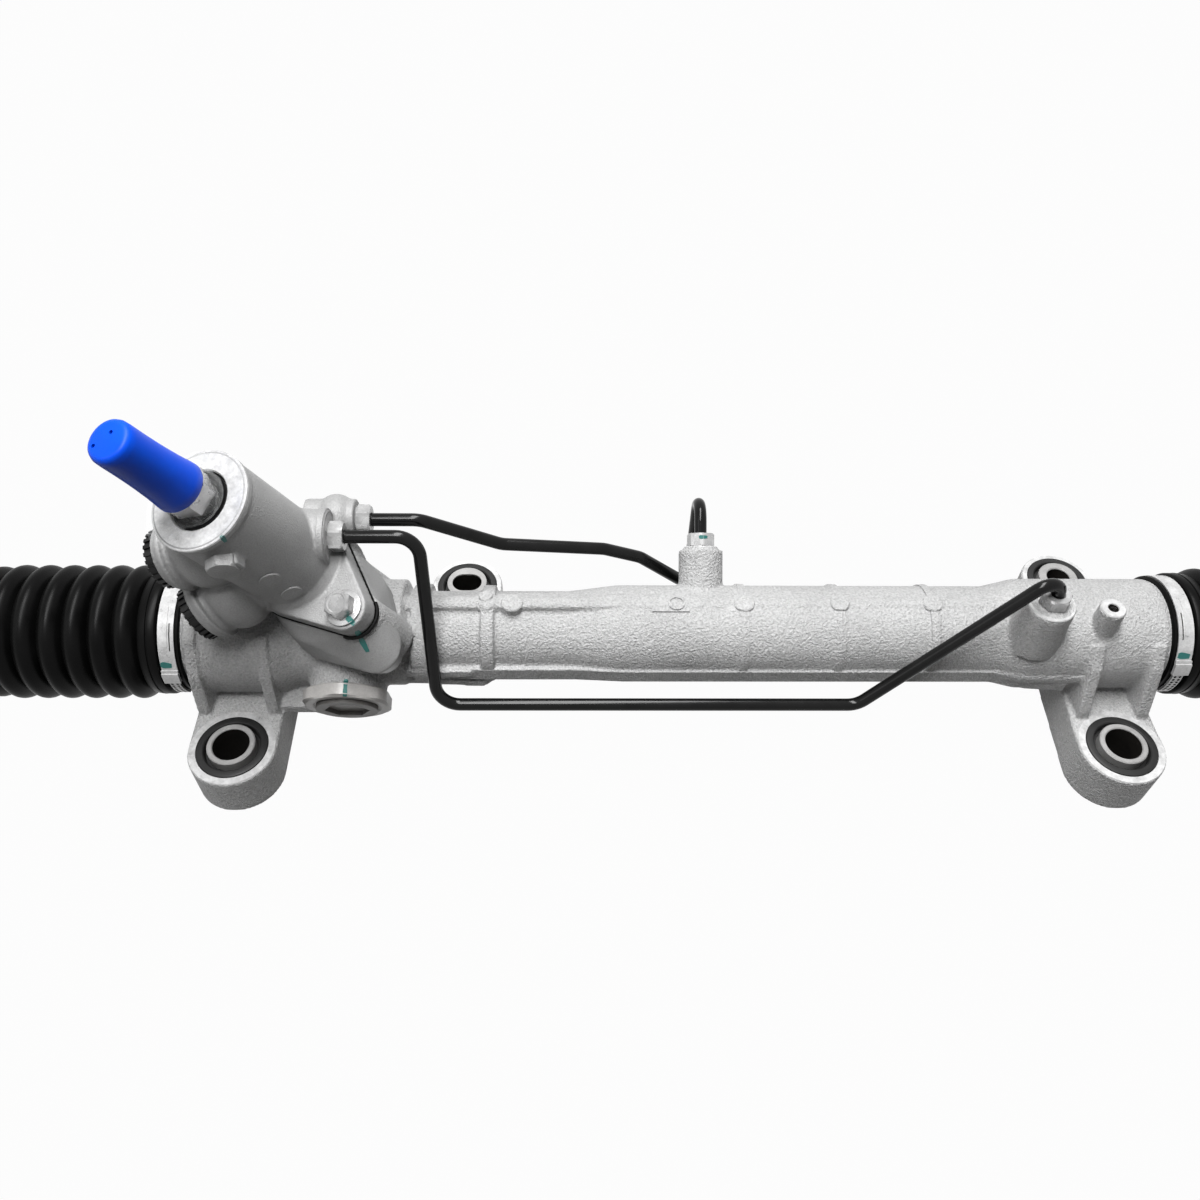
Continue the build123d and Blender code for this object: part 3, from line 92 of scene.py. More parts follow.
# Named places of the frame, in millimetres
UP, ALONG = Vector((0, 0, 1)), Vector((1, 0, 0))
RACK_Y, RACK_Z = 57.0, 49.0
GEAR_END, FAR_END = -22.0, 470.0
PINION_X, PINION_OFFSET = 55.8, 16.0
FLANGE_TOP = 59.0
FRONT_BOLT, BACK_BOLT = (29.5, -26.5), (-22.0, 23.5)
LOW_PORT, HIGH_PORT = Vector((57.0, 54.0, 123.8)), Vector((66.0, 73.0, 115.8))
FAR_PORT, TAPPED_BOSS = Vector((404.5, 41.5, 92.0)), Vector((437.0, 43.0, 86.5))
MID_TILT = math.radians(40)
MID_WAY = Vector((0, math.cos(MID_TILT), math.sin(MID_TILT)))
MID_PORT = Vector((237.0, RACK_Y, RACK_Z)) + MID_WAY * 45.0

# Mounting ears: centre along and across the rack, hole in the casting, outside of the sleeve, rim of the face
EARS = {
    "gear_side_front": (0.0, 0.0, 17.8, 11.9, 21.6),
    "far_side_front": (450.0, 0.0, 17.8, 11.9, 21.6),
    "gear_side_rear": (110.0, 107.5, 16.7, 11.0, 19.4),
    "far_side_rear": (450.0, 113.0, 16.7, 11.0, 19.4),
}

# The pinion axis leans to the front and to the gear side
TILT, LEAN = math.radians(20.0), math.radians(18.3)
to_yoke = Vector((0, -math.cos(TILT), -math.sin(TILT)))
up_slope = Vector((0, -math.sin(TILT), math.cos(TILT)))
p_dir = up_slope * math.cos(LEAN) - ALONG * math.sin(LEAN)
p_side = ALONG * math.cos(LEAN) + up_slope * math.sin(LEAN)
p_away = p_dir.cross(p_side)
rack_centre = Vector((PINION_X, RACK_Y, RACK_Z))
p_origin = rack_centre - to_yoke * PINION_OFFSET


def pin(along, side=0.0, away=0.0):
    """A point in millimetres along the pinion axis, sideways, and away from the rack."""
    return p_origin + p_dir * along + p_side * side + p_away * away


def pin_circle(along, centre, radius, count):
    """Points in millimetres on a circle across the pinion axis."""
    turns = [2 * math.pi * k / count for k in range(count)]
    return [pin(along, centre[0] + radius * math.cos(a), centre[1] + radius * math.sin(a)) for a in turns]


def way_round(turn):
    """The direction outward from the pinion axis at an angle in degrees."""
    return p_side * math.cos(math.radians(turn)) + p_away * math.sin(math.radians(turn))


def rack_way(angle):
    """The direction outward from the rack axis at an angle in degrees above the front."""
    return Vector((0, -math.cos(math.radians(angle)), math.sin(math.radians(angle))))


# Mesh building
class Build:
    """Collects simple closed solids, in millimetres, into one mesh."""

    def __init__(self):
        self.bm = bmesh.new()

    def cone(self, a, b, ra, rb=None, segments=48):
        a, b = Vector(a), Vector(b)
        rb = ra if rb is None else rb
        turn = (b - a).to_track_quat("Z", "Y").to_matrix().to_4x4()
        place = Matrix.Translation((a + b) / 2) @ turn
        bmesh.ops.create_cone(
            self.bm, cap_ends=True, segments=segments, radius1=ra, radius2=rb, depth=(b - a).length, matrix=place
        )
        return self

    def ball(self, centre, radius, squash=(1, 1, 1), turn=None):
        place = Matrix.Translation(Vector(centre)) @ (turn or Matrix.Identity(4)) @ Matrix.Diagonal((*squash, 1))
        bmesh.ops.create_uvsphere(self.bm, u_segments=36, v_segments=20, radius=radius, matrix=place)
        return self

    def block(self, low, high):
        low, high = Vector(low), Vector(high)
        place = Matrix.Translation((low + high) / 2) @ Matrix.Diagonal((*(high - low), 1))
        bmesh.ops.create_cube(self.bm, size=1, matrix=place)
        return self

    def hull(self, points):
        made = [self.bm.verts.new(Vector(p)) for p in points]
        result = bmesh.ops.convex_hull(self.bm, input=made)
        spare = [v for v in result["geom_interior"] + result["geom_unused"] if isinstance(v, bmesh.types.BMVert)]
        bmesh.ops.delete(self.bm, geom=list(set(spare)), context="VERTS")
        return self

    def mesh(self, name):
        bmesh.ops.recalc_face_normals(self.bm, faces=self.bm.faces)
        self.bm.transform(Matrix.Diagonal((MM, MM, MM, 1)))
        data = bpy.data.meshes.new(name)
        self.bm.to_mesh(data)
        self.bm.free()
        return data


def smooth_shade(data, angle):
    """Smooth shading; the edges sharper than an angle stay sharp if one is given."""
    for polygon in data.polygons:
        polygon.use_smooth = True
    if angle:
        data.set_sharp_from_angle(angle=math.radians(angle))


def linked(name, data):
    """A new object in the scene."""
    obj = bpy.data.objects.new(name, data)
    bpy.context.scene.collection.objects.link(obj)
    return obj


def piece(name, data, material, body, sharp=None):
    """A new visible piece: it gets its material and rides on a body."""
    obj = linked(name, data)
    data.materials.clear()
    data.materials.append(material)
    smooth_shade(data, sharp)
    if body:
        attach(obj, body)
    return obj


def mesh_from(name, verts, faces, weld=False):
    """A mesh of points in metres, with its normals turned outward and equal points welded if asked."""
    data = bpy.data.meshes.new(name)
    data.from_pydata([tuple(v) for v in verts], [], faces)
    bm = bmesh.new()
    bm.from_mesh(data)
    if weld:
        bmesh.ops.remove_doubles(bm, verts=bm.verts, dist=1e-6)
    bmesh.ops.recalc_face_normals(bm, faces=bm.faces)
    bm.to_mesh(data)
    bm.free()
    return data


def turn_frame(axis):
    """The axis at unit length and two directions across it."""
    axis = Vector(axis).normalized()
    side = UP if abs(axis.z) < 0.9 else ALONG
    side = (side - axis * side.dot(axis)).normalized()
    return axis, side, axis.cross(side)


def revolve(profile, origin, axis, segments=96, stretch=0.0):
    """A turned mesh: profile is a closed loop of (station, radius) in millimetres along the axis."""
    origin = Vector(origin)
    axis, side, other = turn_frame(axis)
    verts, faces = [], []
    n = len(profile)
    for k in range(segments):
        a = 2 * math.pi * k / segments
        out = side * math.cos(a) + other * math.sin(a)
        shift = side * math.copysign(stretch, math.cos(a))
        verts += [(origin + axis * s + out * r + shift) * MM for s, r in profile]
        after = (k + 1) % segments
        for i in range(n):
            j = (i + 1) % n
            faces.append((k * n + i, k * n + j, after * n + j, after * n + i))
    return mesh_from("turned", verts, faces, weld=True)


def loft(sections, unit=MM):
    """A mesh through sections of equally many points, closed at both ends."""
    size = len(sections[0])
    verts = [Vector(point) * unit for section in sections for point in section]
    faces = [tuple(range(size)), tuple(range(len(verts) - size, len(verts)))]
    for k in range(len(sections) - 1):
        for i in range(size):
            n = (i + 1) % size
            faces.append((k * size + i, k * size + n, (k + 1) * size + n, (k + 1) * size + i))
    return mesh_from("loft", verts, faces)


def hex_radius(angle, flats):
    return flats / 2 / math.cos((angle + math.pi / 6) % (math.pi / 3) - math.pi / 6)


def hex_mesh(origin, axis, rows, flats, spin=0.0, segments=72):
    """A hexagonal piece: rows are (station, round limit, hexagonal or not), closed at both ends."""
    axis, side, other = turn_frame(axis)
    sections = []
    for s, limit, hexed in rows:
        section = []
        for k in range(segments):
            a = 2 * math.pi * k / segments
            r = min(limit, hex_radius(a + spin, flats)) if hexed else limit
            section.append(Vector(origin) + axis * s + (side * math.cos(a) + other * math.sin(a)) * r)
        sections.append(section)
    return loft(sections)


def baked(obj):
    """The mesh of an object with its modifiers applied."""
    bpy.context.view_layer.update()
    depsgraph = bpy.context.evaluated_depsgraph_get()
    return bpy.data.meshes.new_from_object(obj.evaluated_get(depsgraph))


def join_meshes(name, meshes):
    bm = bmesh.new()
    for data in meshes:
        bm.from_mesh(data)
    out = bpy.data.meshes.new(name)
    bm.to_mesh(out)
    bm.free()
    return out


def cut_by(data, *cutters):
    """The mesh with other closed meshes taken out of it."""
    body = linked("body", data)
    for cutter in cutters:
        tool = linked("tool", cutter)
        cut = body.modifiers.new("cut", "BOOLEAN")
        cut.operation, cut.solver, cut.object = "DIFFERENCE", "EXACT", tool
        body.data = baked(body)
        body.modifiers.clear()
        bpy.data.objects.remove(tool)
    out = body.data
    bpy.data.objects.remove(body)
    return out


def cut_away(data, *rods):
    """The mesh with round rods taken out of it: a rod is (start, end, radius) in millimetres."""
    return cut_by(data, *[Build().cone(a, b, radius, segments=96).mesh("rod") for a, b, radius in rods])


def cast_mesh(name, meshes, voxel, rounds, keep=None):
    """Closed solids melted into one casting: remeshed, then smoothed where keep says so."""
    obj = linked(name, join_meshes(name, meshes))
    remesh = obj.modifiers.new("remesh", "REMESH")
    remesh.mode = "VOXEL"
    remesh.voxel_size = voxel * MM
    obj.data = baked(obj)
    obj.modifiers.clear()
    group = obj.vertex_groups.new(name="soft")
    co = np.zeros(len(obj.data.vertices) * 3, np.float32)
    obj.data.vertices.foreach_get("co", co)
    co = co.reshape(-1, 3) / MM
    weights = np.ones(len(co)) if keep is None else keep(co)
    for level in (0.25, 1.0):
        group.add(np.nonzero(weights == level)[0].tolist(), level, "REPLACE")
    smooth = obj.modifiers.new("smooth", "SMOOTH")
    smooth.factor = 0.5
    smooth.iterations = rounds
    smooth.vertex_group = "soft"
    out = baked(obj)
    bpy.data.objects.remove(obj)
    return out


# Materials
def new_material(name):
    material = bpy.data.materials.new(name)
    material.use_nodes = True
    nodes = material.node_tree.nodes
    return material, nodes, material.node_tree.links, nodes["Principled BSDF"]


def noise_at(nodes, links, scale, detail=4.0, roughness=0.6):
    """A noise texture in object space; scale is in features per metre."""
    place = nodes.new("ShaderNodeTexCoord")
    tex = nodes.new("ShaderNodeTexNoise")
    tex.inputs["Scale"].default_value = scale
    tex.inputs["Detail"].default_value = detail
    tex.inputs["Roughness"].default_value = roughness
    links.new(place.outputs["Object"], tex.inputs["Vector"])
    return tex


def ramp(nodes, links, source, stops):
    node = nodes.new("ShaderNodeValToRGB")
    elements = node.color_ramp.elements
    while len(elements) < len(stops):
        elements.new(0.5)
    for element, (at, colour) in zip(elements, stops):
        element.position = at
        element.color = (*colour, 1) if len(colour) == 3 else colour
    links.new(source, node.inputs["Fac"])
    return node


def grey(v, warm=0.0):
    return (v * (1 + warm), v, v * (1 - warm))


def add_bump(nodes, links, shader, layers):
    """Chained bumps: layers are (height output, strength, distance in millimetres)."""
    last = None
    for height, strength, distance in layers:
        bump = nodes.new("ShaderNodeBump")
        bump.inputs["Strength"].default_value = strength
        bump.inputs["Distance"].default_value = distance * MM
        links.new(height, bump.inputs["Height"])
        if last:
            links.new(last.outputs["Normal"], bump.inputs["Normal"])
        last = bump
    links.new(last.outputs["Normal"], shader.inputs["Normal"])


def drifting_roughness(nodes, links, shader, drift, rough, most=1.15):
    """Roughness round a value that drifts with the noise of the colour."""
    stops = [(0.3, grey(rough * 0.85)), (0.7, grey(min(1, rough * most)))]
    links.new(ramp(nodes, links, drift.outputs["Fac"], stops).outputs["Color"], shader.inputs["Roughness"])


def metal(name, low, high, rough, grain, patch, metallic, warm=0.0, coarse=None, speck=0.86):
    """A metal whose colour and roughness drift: grain and coarse are (scale, strength, millimetres)."""
    material, nodes, links, shader = new_material(name)
    shader.inputs["Metallic"].default_value = metallic
    shader.inputs["Specular IOR Level"].default_value = 0.35
    drift = noise_at(nodes, links, patch, 5.0)
    colour = ramp(nodes, links, drift.outputs["Fac"], [(0.3, grey(low, warm)), (0.7, grey(high, warm))])
    fine = noise_at(nodes, links, grain[0], 3.0)
    fleck = ramp(nodes, links, fine.outputs["Fac"], [(0.3, grey(speck)), (0.7, grey(1.0))])
    mix = nodes.new("ShaderNodeMix")
    mix.data_type = "RGBA"
    mix.blend_type = "MULTIPLY"
    mix.inputs["Factor"].default_value = 1.0
    links.new(colour.outputs["Color"], mix.inputs["A"])
    links.new(fleck.outputs["Color"], mix.inputs["B"])
    links.new(mix.outputs["Result"], shader.inputs["Base Color"])
    drifting_roughness(nodes, links, shader, drift, rough)
    layers = [(fine.outputs["Fac"], grain[1], grain[2])]
    if coarse:
        lump = noise_at(nodes, links, coarse[0], 2.0)
        layers.append((lump.outputs["Fac"], coarse[1], coarse[2]))
    add_bump(nodes, links, shader, layers)
    return material


def rubber(name, value, rough, shine, grain=700, strength=0.12):
    material, nodes, links, shader = new_material(name)
    shader.inputs["Specular IOR Level"].default_value = shine
    drift = noise_at(nodes, links, 55, 5.0)
    colour = ramp(nodes, links, drift.outputs["Fac"], [(0.3, grey(value * 0.7)), (0.75, grey(value * 1.4))])
    links.new(colour.outputs["Color"], shader.inputs["Base Color"])
    drifting_roughness(nodes, links, shader, drift, rough, 1.2)
    fine = noise_at(nodes, links, grain, 3.0)
    add_bump(nodes, links, shader, [(fine.outputs["Fac"], strength, 0.12)])
    return material


def coloured(name, low, high, rough, grain=(500, 0.08, 0.1), shine=0.5):
    """Plastic or paint between two colours."""
    material, nodes, links, shader = new_material(name)
    shader.inputs["Specular IOR Level"].default_value = shine
    drift = noise_at(nodes, links, 70, 4.0)
    colour = ramp(nodes, links, drift.outputs["Fac"], [(0.3, low), (0.7, high)])
    links.new(colour.outputs["Color"], shader.inputs["Base Color"])
    drifting_roughness(nodes, links, shader, drift, rough)
    fine = noise_at(nodes, links, grain[0], 3.0)
    add_bump(nodes, links, shader, [(fine.outputs["Fac"], grain[1], grain[2])])
    return material


ROUGH_CAST = {"grain": (850, 1.0, 1.5), "patch": 26, "coarse": (430, 0.35, 0.6), "speck": 0.62}
FINE_CAST = {"grain": (1300, 0.8, 0.45), "patch": 30, "coarse": (300, 0.15, 0.35), "speck": 0.78}
cast_grain = metal("cast_grain", 0.50, 0.60, 0.50, metallic=0.04, **ROUGH_CAST)
cast_smooth = metal("cast_smooth", 0.30, 0.38, 0.42, metallic=0.10, **FINE_CAST)
# Near-black steel that barely reflects: painted shade, laid inside bores and holes where shade falls
painted_hole_shade = metal("painted_hole_shade", 0.008, 0.02, 0.7, grain=(900, 0.3, 0.1), patch=60, metallic=0.0, warm=0.1)
painted_hole_shade.node_tree.nodes["Principled BSDF"].inputs["Specular IOR Level"].default_value = 0.02
machined = metal("machined", 0.48, 0.74, 0.32, grain=(700, 0.5, 0.2), patch=190, metallic=0.30, speck=0.8)
zinc = metal("zinc", 0.36, 0.52, 0.26, grain=(1500, 0.15, 0.06), patch=150, metallic=0.45)
nut_steel = metal("nut_steel", 0.34, 0.48, 0.38, grain=(1100, 0.4, 0.2), patch=120, metallic=0.06, warm=0.03)
bright_band = metal("bright_band", 0.42, 0.66, 0.30, grain=(1200, 0.2, 0.08), patch=150, metallic=0.30)
plug_steel = metal("plug_steel", 0.09, 0.15, 0.5, grain=(900, 0.5, 0.25), patch=210, metallic=0.0, warm=0.05)
dark_steel = metal("dark_steel", 0.16, 0.24, 0.40, grain=(900, 0.15, 0.06), patch=60, metallic=0.6)
ground_steel = metal("ground_steel", 0.40, 0.52, 0.28, grain=(1500, 0.08, 0.03), patch=50, metallic=0.7)
sleeve_steel = metal("sleeve_steel", 0.28, 0.38, 0.42, grain=(1400, 0.3, 0.1), patch=110, metallic=0.25, warm=0.01)
black_pipe = coloured("black_pipe", grey(0.003), grey(0.007), 0.17, grain=(600, 0.05, 0.1), shine=0.16)
boot_rubber = rubber("boot_rubber", 0.002, 0.36, shine=0.07)
bush_rubber = rubber("bush_rubber", 0.013, 0.5, shine=0.25, grain=900, strength=0.25)
seal_rubber = rubber("seal_rubber", 0.003, 0.5, shine=0.08)
black_plastic = coloured("black_plastic", grey(0.003), grey(0.008), 0.35, shine=0.2)
CAP_BLUES = ((0.0, 0.058, 0.58), (0.0, 0.072, 0.66))
blue_plastic = coloured("blue_plastic", *CAP_BLUES, 0.42, grain=(300, 0.10, 0.15), shine=0.2)
ptfe = coloured("ptfe", (0.30, 0.24, 0.16), (0.38, 0.31, 0.22), 0.4)
paint_mark = coloured("paint_mark", (0.012, 0.105, 0.095), (0.02, 0.15, 0.135), 0.55)


def clear_film_material():
    material, nodes, links, shader = new_material("clear_film")
    shader.inputs["Base Color"].default_value = (0.93, 0.95, 0.95, 1)
    shader.inputs["Roughness"].default_value = 0.12
    shader.inputs["IOR"].default_value = 1.2
    drift = noise_at(nodes, links, 120, 3.0)
    veil = ramp(nodes, links, drift.outputs["Fac"], [(0.35, grey(0.02)), (0.75, grey(0.07))])
    links.new(veil.outputs["Color"], shader.inputs["Alpha"])
    wave = noise_at(nodes, links, 260, 2.0)
    add_bump(nodes, links, shader, [(wave.outputs["Fac"], 0.3, 0.4)])
    return material


clear_film = clear_film_material()

SLOT_MATERIAL = {
    "cast_aluminium": cast_grain,
    "valve_aluminium": cast_smooth,
    "gasket": seal_rubber,
    "zinc_steel": zinc,
    "black_plastic": black_plastic,
    "bush_steel": sleeve_steel,
    "bush_rubber": bush_rubber,
    "guide_aluminium": nut_steel,
    "bearing_plastic": ptfe,
    "spring_steel": dark_steel,
    "pipe_paint": black_pipe,
    "bearing_steel": ground_steel,
    "seal_rubber": seal_rubber,
    "boot_rubber": boot_rubber,
    "clamp_steel": bright_band,
    "rack_steel": ground_steel,
    "joint_steel": dark_steel,
    "blue_plastic": blue_plastic,
    "clear_film": clear_film,
}
for entry in frame["record"]["subparts"]:
    node = NODES[entry["node"]]
    node.data.materials.clear()
    node.data.materials.append(SLOT_MATERIAL[entry["material_slot"]])
    smooth_shade(node.data, 32)


# Rack casting
CYLINDER_CLEAR = 20.9
FAR_CASE_AXIS = (Vector((360, RACK_Y, RACK_Z)), Vector((450, RACK_Y, RACK_Z)), CYLINDER_CLEAR)


def keep_rack(co):
    """Where the rack casting may be softened: not round the ear holes, less at the ends and round the rack."""
    w = np.ones(len(co))
    for x, y, hole, _, _ in EARS.values():
        w[np.hypot(co[:, 0] - x, co[:, 1] - y) < hole + 1.2] = 0.0
    across = np.hypot(co[:, 1] - RACK_Y, co[:, 2] - RACK_Z)
    w[(co[:, 0] < GEAR_END - 0.5) | (co[:, 0] > FAR_END + 0.5)] = 0.25
    w[across < 22.5] = 0.25
    return w


def rack_extras():
    """Forms of the rack casting that lie over the plain housing, each a closed solid."""
    solids = []
    # Long rib along the top of the neck, with an upright front wall, and its round pads
    rib = Build().block((82, 53.3, 69.9), (176, 61.5, 73.4))
    rib.hull([(x, y, z) for x, top in ((174, 73.4), (194, 74.7)) for y in (53.3, 61.5) for z in (69.9, top)])
    rib_end = ((193, 53.4, 74.7), (206, 57, 73.6))
    rib.hull([(x, y, z) for x, front, top in rib_end for y in (front, 60.5) for z in (70.4, top)])
    solids.append(rib.mesh("rib"))
    solids.append(Build().cone((139, 56.6, 69.9), (139, 56.6, 74.4), 6.2, 5.6).mesh("pad"))
    solids.append(Build().cone((127, 55.4, 69.9), (127, 55.4, 75.0), 4.4, 3.8).mesh("pad"))
    # Ribs round the neck
    for x, half, radius in ((127.0, 3.4, 24.6), (93.0, 4.5, 25.2)):
        profile = [(-half, CYLINDER_CLEAR), (half, CYLINDER_CLEAR), (half, radius), (-half, radius)]
        solids.append(revolve(profile, (x, RACK_Y, RACK_Z), ALONG))
    # Lip under the neck
    lip = ((84, 35.5), (124, 33.5), (130, 38), (84, 43), (130, 43))
    solids.append(Build().hull([(x, y, z) for z in (33, 38) for x, y in lip]).mesh("lip"))
    # Port boss near the far end, wider than the plain one
    port = Build().cone((403.2, 43.5, 62), (403.7, 41.5, 91.6), 14.6, 11.9, 96).mesh("port")
    solids.append(cut_away(port, FAR_CASE_AXIS))
    # Plate between the gear-side ear and the rack guide boss
    solids.append(Build().block((20, 22, 26), (44, 45, 32)).mesh("plate"))
    return solids


rack_cast = cast_mesh("rack_casting", [NODES["rack_housing"].data] + rack_extras(), 0.85, 3, keep_rack)
rack_casting = piece("rack_casting", rack_cast, cast_grain, "housing")
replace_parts(rack_casting, "rack_housing")

# Ledge along the front, rows of (station, front, top, back): a bright top over an upright wall
LEDGE = [
    (97, 33.0, 49.0, 36.4),
    (126, 32.3, 49.2, 36.4),
    (172, 32.3, 49.3, 36.4),
    (196, 30.9, 49.4, 35.2),
    (385, 30.9, 49.4, 35.2),
    (404, 28.0, 47.6, 33.0),
    (424, 27.4, 46.4, 33.0),
]
sections = []
for x, front, top, back in LEDGE:
    bright = [(x, front, top - 0.4), (x, front + 0.35, top), (x, back, top + 0.2)]
    sections.append(bright + [(x, back + 1.8, top - 9.2), (x, front + 0.3, top - 8.6)])
piece("casting_ledge", loft(sections), cast_grain, "housing", sharp=28)


# Raised rings and pads on the tube
def round_rack(x, angle, radius):
    """A point at an angle in degrees above the front of the rack axis, and the way outward there."""
    way = rack_way(angle)
    return Vector((x, RACK_Y, RACK_Z)) + way * radius, way


TUBE_RINGS = (256.9, 305.5, 353.0)
RING_PROFILE = [(-2.3, 23.5), (-1.9, 25.5), (1.9, 25.5), (2.3, 23.5)]
# Rows of (station, angle above the front, radius from the rack axis, radius of the pad)
ROUND_PADS = [
    (139.5, 87.2, 26.0, 5.6),
    (126.0, 96.0, 26.6, 3.6),
    (256.9, 88.0, 26.0, 5.4),
    (353.0, 88.0, 26.0, 5.2),
    (305.5, 88.0, 26.0, 5.0),
]
pads = [revolve(RING_PROFILE, (x, RACK_Y, RACK_Z), ALONG, segments=120) for x in TUBE_RINGS]
tilted = Vector((0, -math.sin(MID_TILT), math.cos(MID_TILT)))
boss_at = MID_PORT - MID_WAY * 6.4 + tilted * 11.2
pads.append(Build().cone(boss_at - tilted * 2, boss_at, 4.7, 4.4).mesh("pad"))
for x, angle, radius, size in ROUND_PADS:
    at, way = round_rack(x, angle, radius)
    pad = Build().cone(at - way * 4.5, at - way * 0.5, size)
    pads.append(pad.cone(at - way * 0.5, at, size, size - 0.5).mesh("pad"))
corners = [round_rack(x, angle, radius)[0] for x in (210, 229) for angle in (76, 99) for radius in (22.0, 25.5)]
pads.append(Build().hull(corners).mesh("plate"))
at, way = round_rack(222.5, 87.0, 25.9)
pads.append(revolve([(-2.0, 4.4), (0.0, 4.2), (0.0, 3.4), (-2.0, 3.2)], at, way, segments=48))
piece("casting_pads", join_meshes("pads", pads), cast_grain, "housing", sharp=30)


# Valve casting
def feed_port(along, turn, reach):
    """The centre of a feed port face and the way it faces."""
    facing = p_side * -math.cos(math.radians(turn)) - p_away * math.sin(math.radians(turn))
    return pin(along) + facing * reach, facing


PRESSURE_PORT = feed_port(95.0, 9.0, 40.0)
RETURN_PORT = feed_port(65.0, 27.0, 47.0)
VALVE_BORE, PORT_BORE = 16.6, 8.2


def valve_extras():
    """Forms of the valve casting that lie over the plain housing, each a closed solid."""
    solids = []
    for centre, facing in (PRESSURE_PORT, RETURN_PORT):
        turn = facing.to_track_quat("Z", "Y").to_matrix().to_4x4()
        bores = ((pin(30.0), pin(131.0), VALVE_BORE), (centre - facing * 22.0, centre + facing, PORT_BORE))
        forms = [Build().ball(centre - facing * 18.0, 19.2, (1, 1, 0.82), turn)]
        forms.append(Build().cone(centre - facing * 6.0, centre - facing * 3.4, 17.6, 17.2, 72))
        forms.append(Build().cone(centre - facing * 4.0, centre - facing * 0.8, 16.8, 15.6, 72))
        solids += [cut_away(form.mesh("form"), *bores) for form in forms]
    # Pipe port bosses: a ringed round boss in front, a domed one behind
    for start, stop, wide, narrow in ((34, 3.8, 14.4, 12.6), (2.8, 0.2, 13.2, 12.9)):
        boss = Build().cone(LOW_PORT - ALONG * start, LOW_PORT - ALONG * stop, wide, narrow, 72)
        solids.append(boss.mesh("boss"))
    solids.append(Build().ball(HIGH_PORT - ALONG * 9.5, 12.4, (0.85, 1, 1)).mesh("dome"))
    # Upright ridge where the front port boss leaves the tower
    ridge = ((-33, -9, -4), (-33, -6, 12), (-25, -11, -6), (-25, -8, 13.5), (-28, 8, 4), (-28, 8, 12))
    solids.append(Build().hull([LOW_PORT + Vector(at) for at in ridge]).mesh("ridge"))
    return solids


def keep_valve(co):
    """Where the valve casting may be softened: less at the ring and at the joint face."""
    along = (co - np.array(pin(0.0))) @ np.array(p_dir)
    w = np.ones(len(co))
    w[(along > 124.0) | (along < 50.5)] = 0.25
    return w


valve_cast = cast_mesh("valve_casting", [NODES["valve_housing"].data] + valve_extras(), 0.7, 8, keep_valve)
valve_casting = piece("valve_casting", valve_cast, cast_smooth, "housing")
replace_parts(valve_casting, "valve_housing")

# Crisp small forms of the valve casting: a hexagonal lug, blank round pads and the ring of the front port
LUG_ROWS = [(0.0, 8.2, False), (0.0, 8.4, True), (9.4, 7.4, True), (10.3, 6.4, True), (10.6, 5.0, False)]
way = way_round(-80)
trim = [hex_mesh(pin(115.0) + way * 17.0, way, LUG_ROWS, 12.6, spin=0.3)]
for along, turn in ((88.0, -67.5), (70.8, -67.0)):
    way = way_round(turn)
    trim.append(Build().cone(pin(along) + way * 18, pin(along) + way * 23.2, 5.0, 4.7).mesh("pad"))
for n in range(2):
    up = n * 0.5
    profile = [(-3.0, 12.0), (-3.0, 13.5 - n), (up - 0.6, 13.3 - n), (up - 0.3, 12.9 - n), (up - 0.3, 11.0)]
    trim.append(revolve(profile, LOW_PORT, ALONG))
piece("valve_casting_trim", join_meshes("trim", trim), cast_smooth, "housing", sharp=28)

# Smooth barrel of the rack housing below the joint, rows of (height, centre, radius)
MAIN, LOBE = (8.0, -14.0), (31.0, -37.0)
BARREL = [
    (47.5, (2.0, -3.0), 24.4),
    (40.0, (6.0, -10.0), 25.4),
    (28.0, MAIN, 26.6),
    (10.0, MAIN, 23.0),
    (47.5, FRONT_BOLT, 10.3),
    (28.0, LOBE, 12.2),
    (14.0, (28.0, -36.0), 9.0),
]
# The bores of the pinion, the rack and the rack guide stay free
hollows = [
    (pin(-35.0), pin(60.0), 18.5),
    (Vector((-30, RACK_Y, RACK_Z)), Vector((110, RACK_Y, RACK_Z)), 16.0),
    (rack_centre, rack_centre + to_yoke * 45.0, 15.6),
]
rims = [point for station, centre, radius in BARREL for point in pin_circle(station, centre, radius, 64)]
barrel = Build().hull(rims).mesh("barrel")
barrel_mesh = cast_mesh("pinion_barrel", [cut_away(barrel, *hollows)], 0.8, 5)
piece("pinion_barrel", barrel_mesh, cast_smooth, "housing")


# Boots: bellows whose big end lies at the housing, in two pieces that ride on no body: the bellows and the tip with
# the small end
FOLDS, PITCH, LIP_END, SKIN = 13, 12.2, 22.5, 1.5
SPLIT_FOLD, TAPER_FOLD = 10, 6
VALLEY, LAST_VALLEY = 28.6, 15.2
CREST, LAST_CREST = 34.4, 22.0


def taper(fold):
    """How far the bellows has narrowed at a fold number, from 0 to 1."""
    return max(0.0, (fold - TAPER_FOLD) / (FOLDS - TAPER_FOLD))


def valley(fold):
    return VALLEY - (VALLEY - LAST_VALLEY) * taper(fold)


def boot_profile(first, last, steps=12):
    """(station, radius) of the outside of the bellows between two fold numbers."""
    points = []
    for n in range(first, last):
        here, there = valley(n), valley(n + 1)
        crest = CREST - (CREST - LAST_CREST) * (taper(n) + taper(n + 1)) / 2
        for k in range(steps):
            t = k / steps
            lift = math.sin(math.pi * t) ** 0.7
            base = here + (there - here) * t
            points.append((LIP_END + (n + t) * PITCH, base + (crest - (here + there) / 2) * lift))
    return points


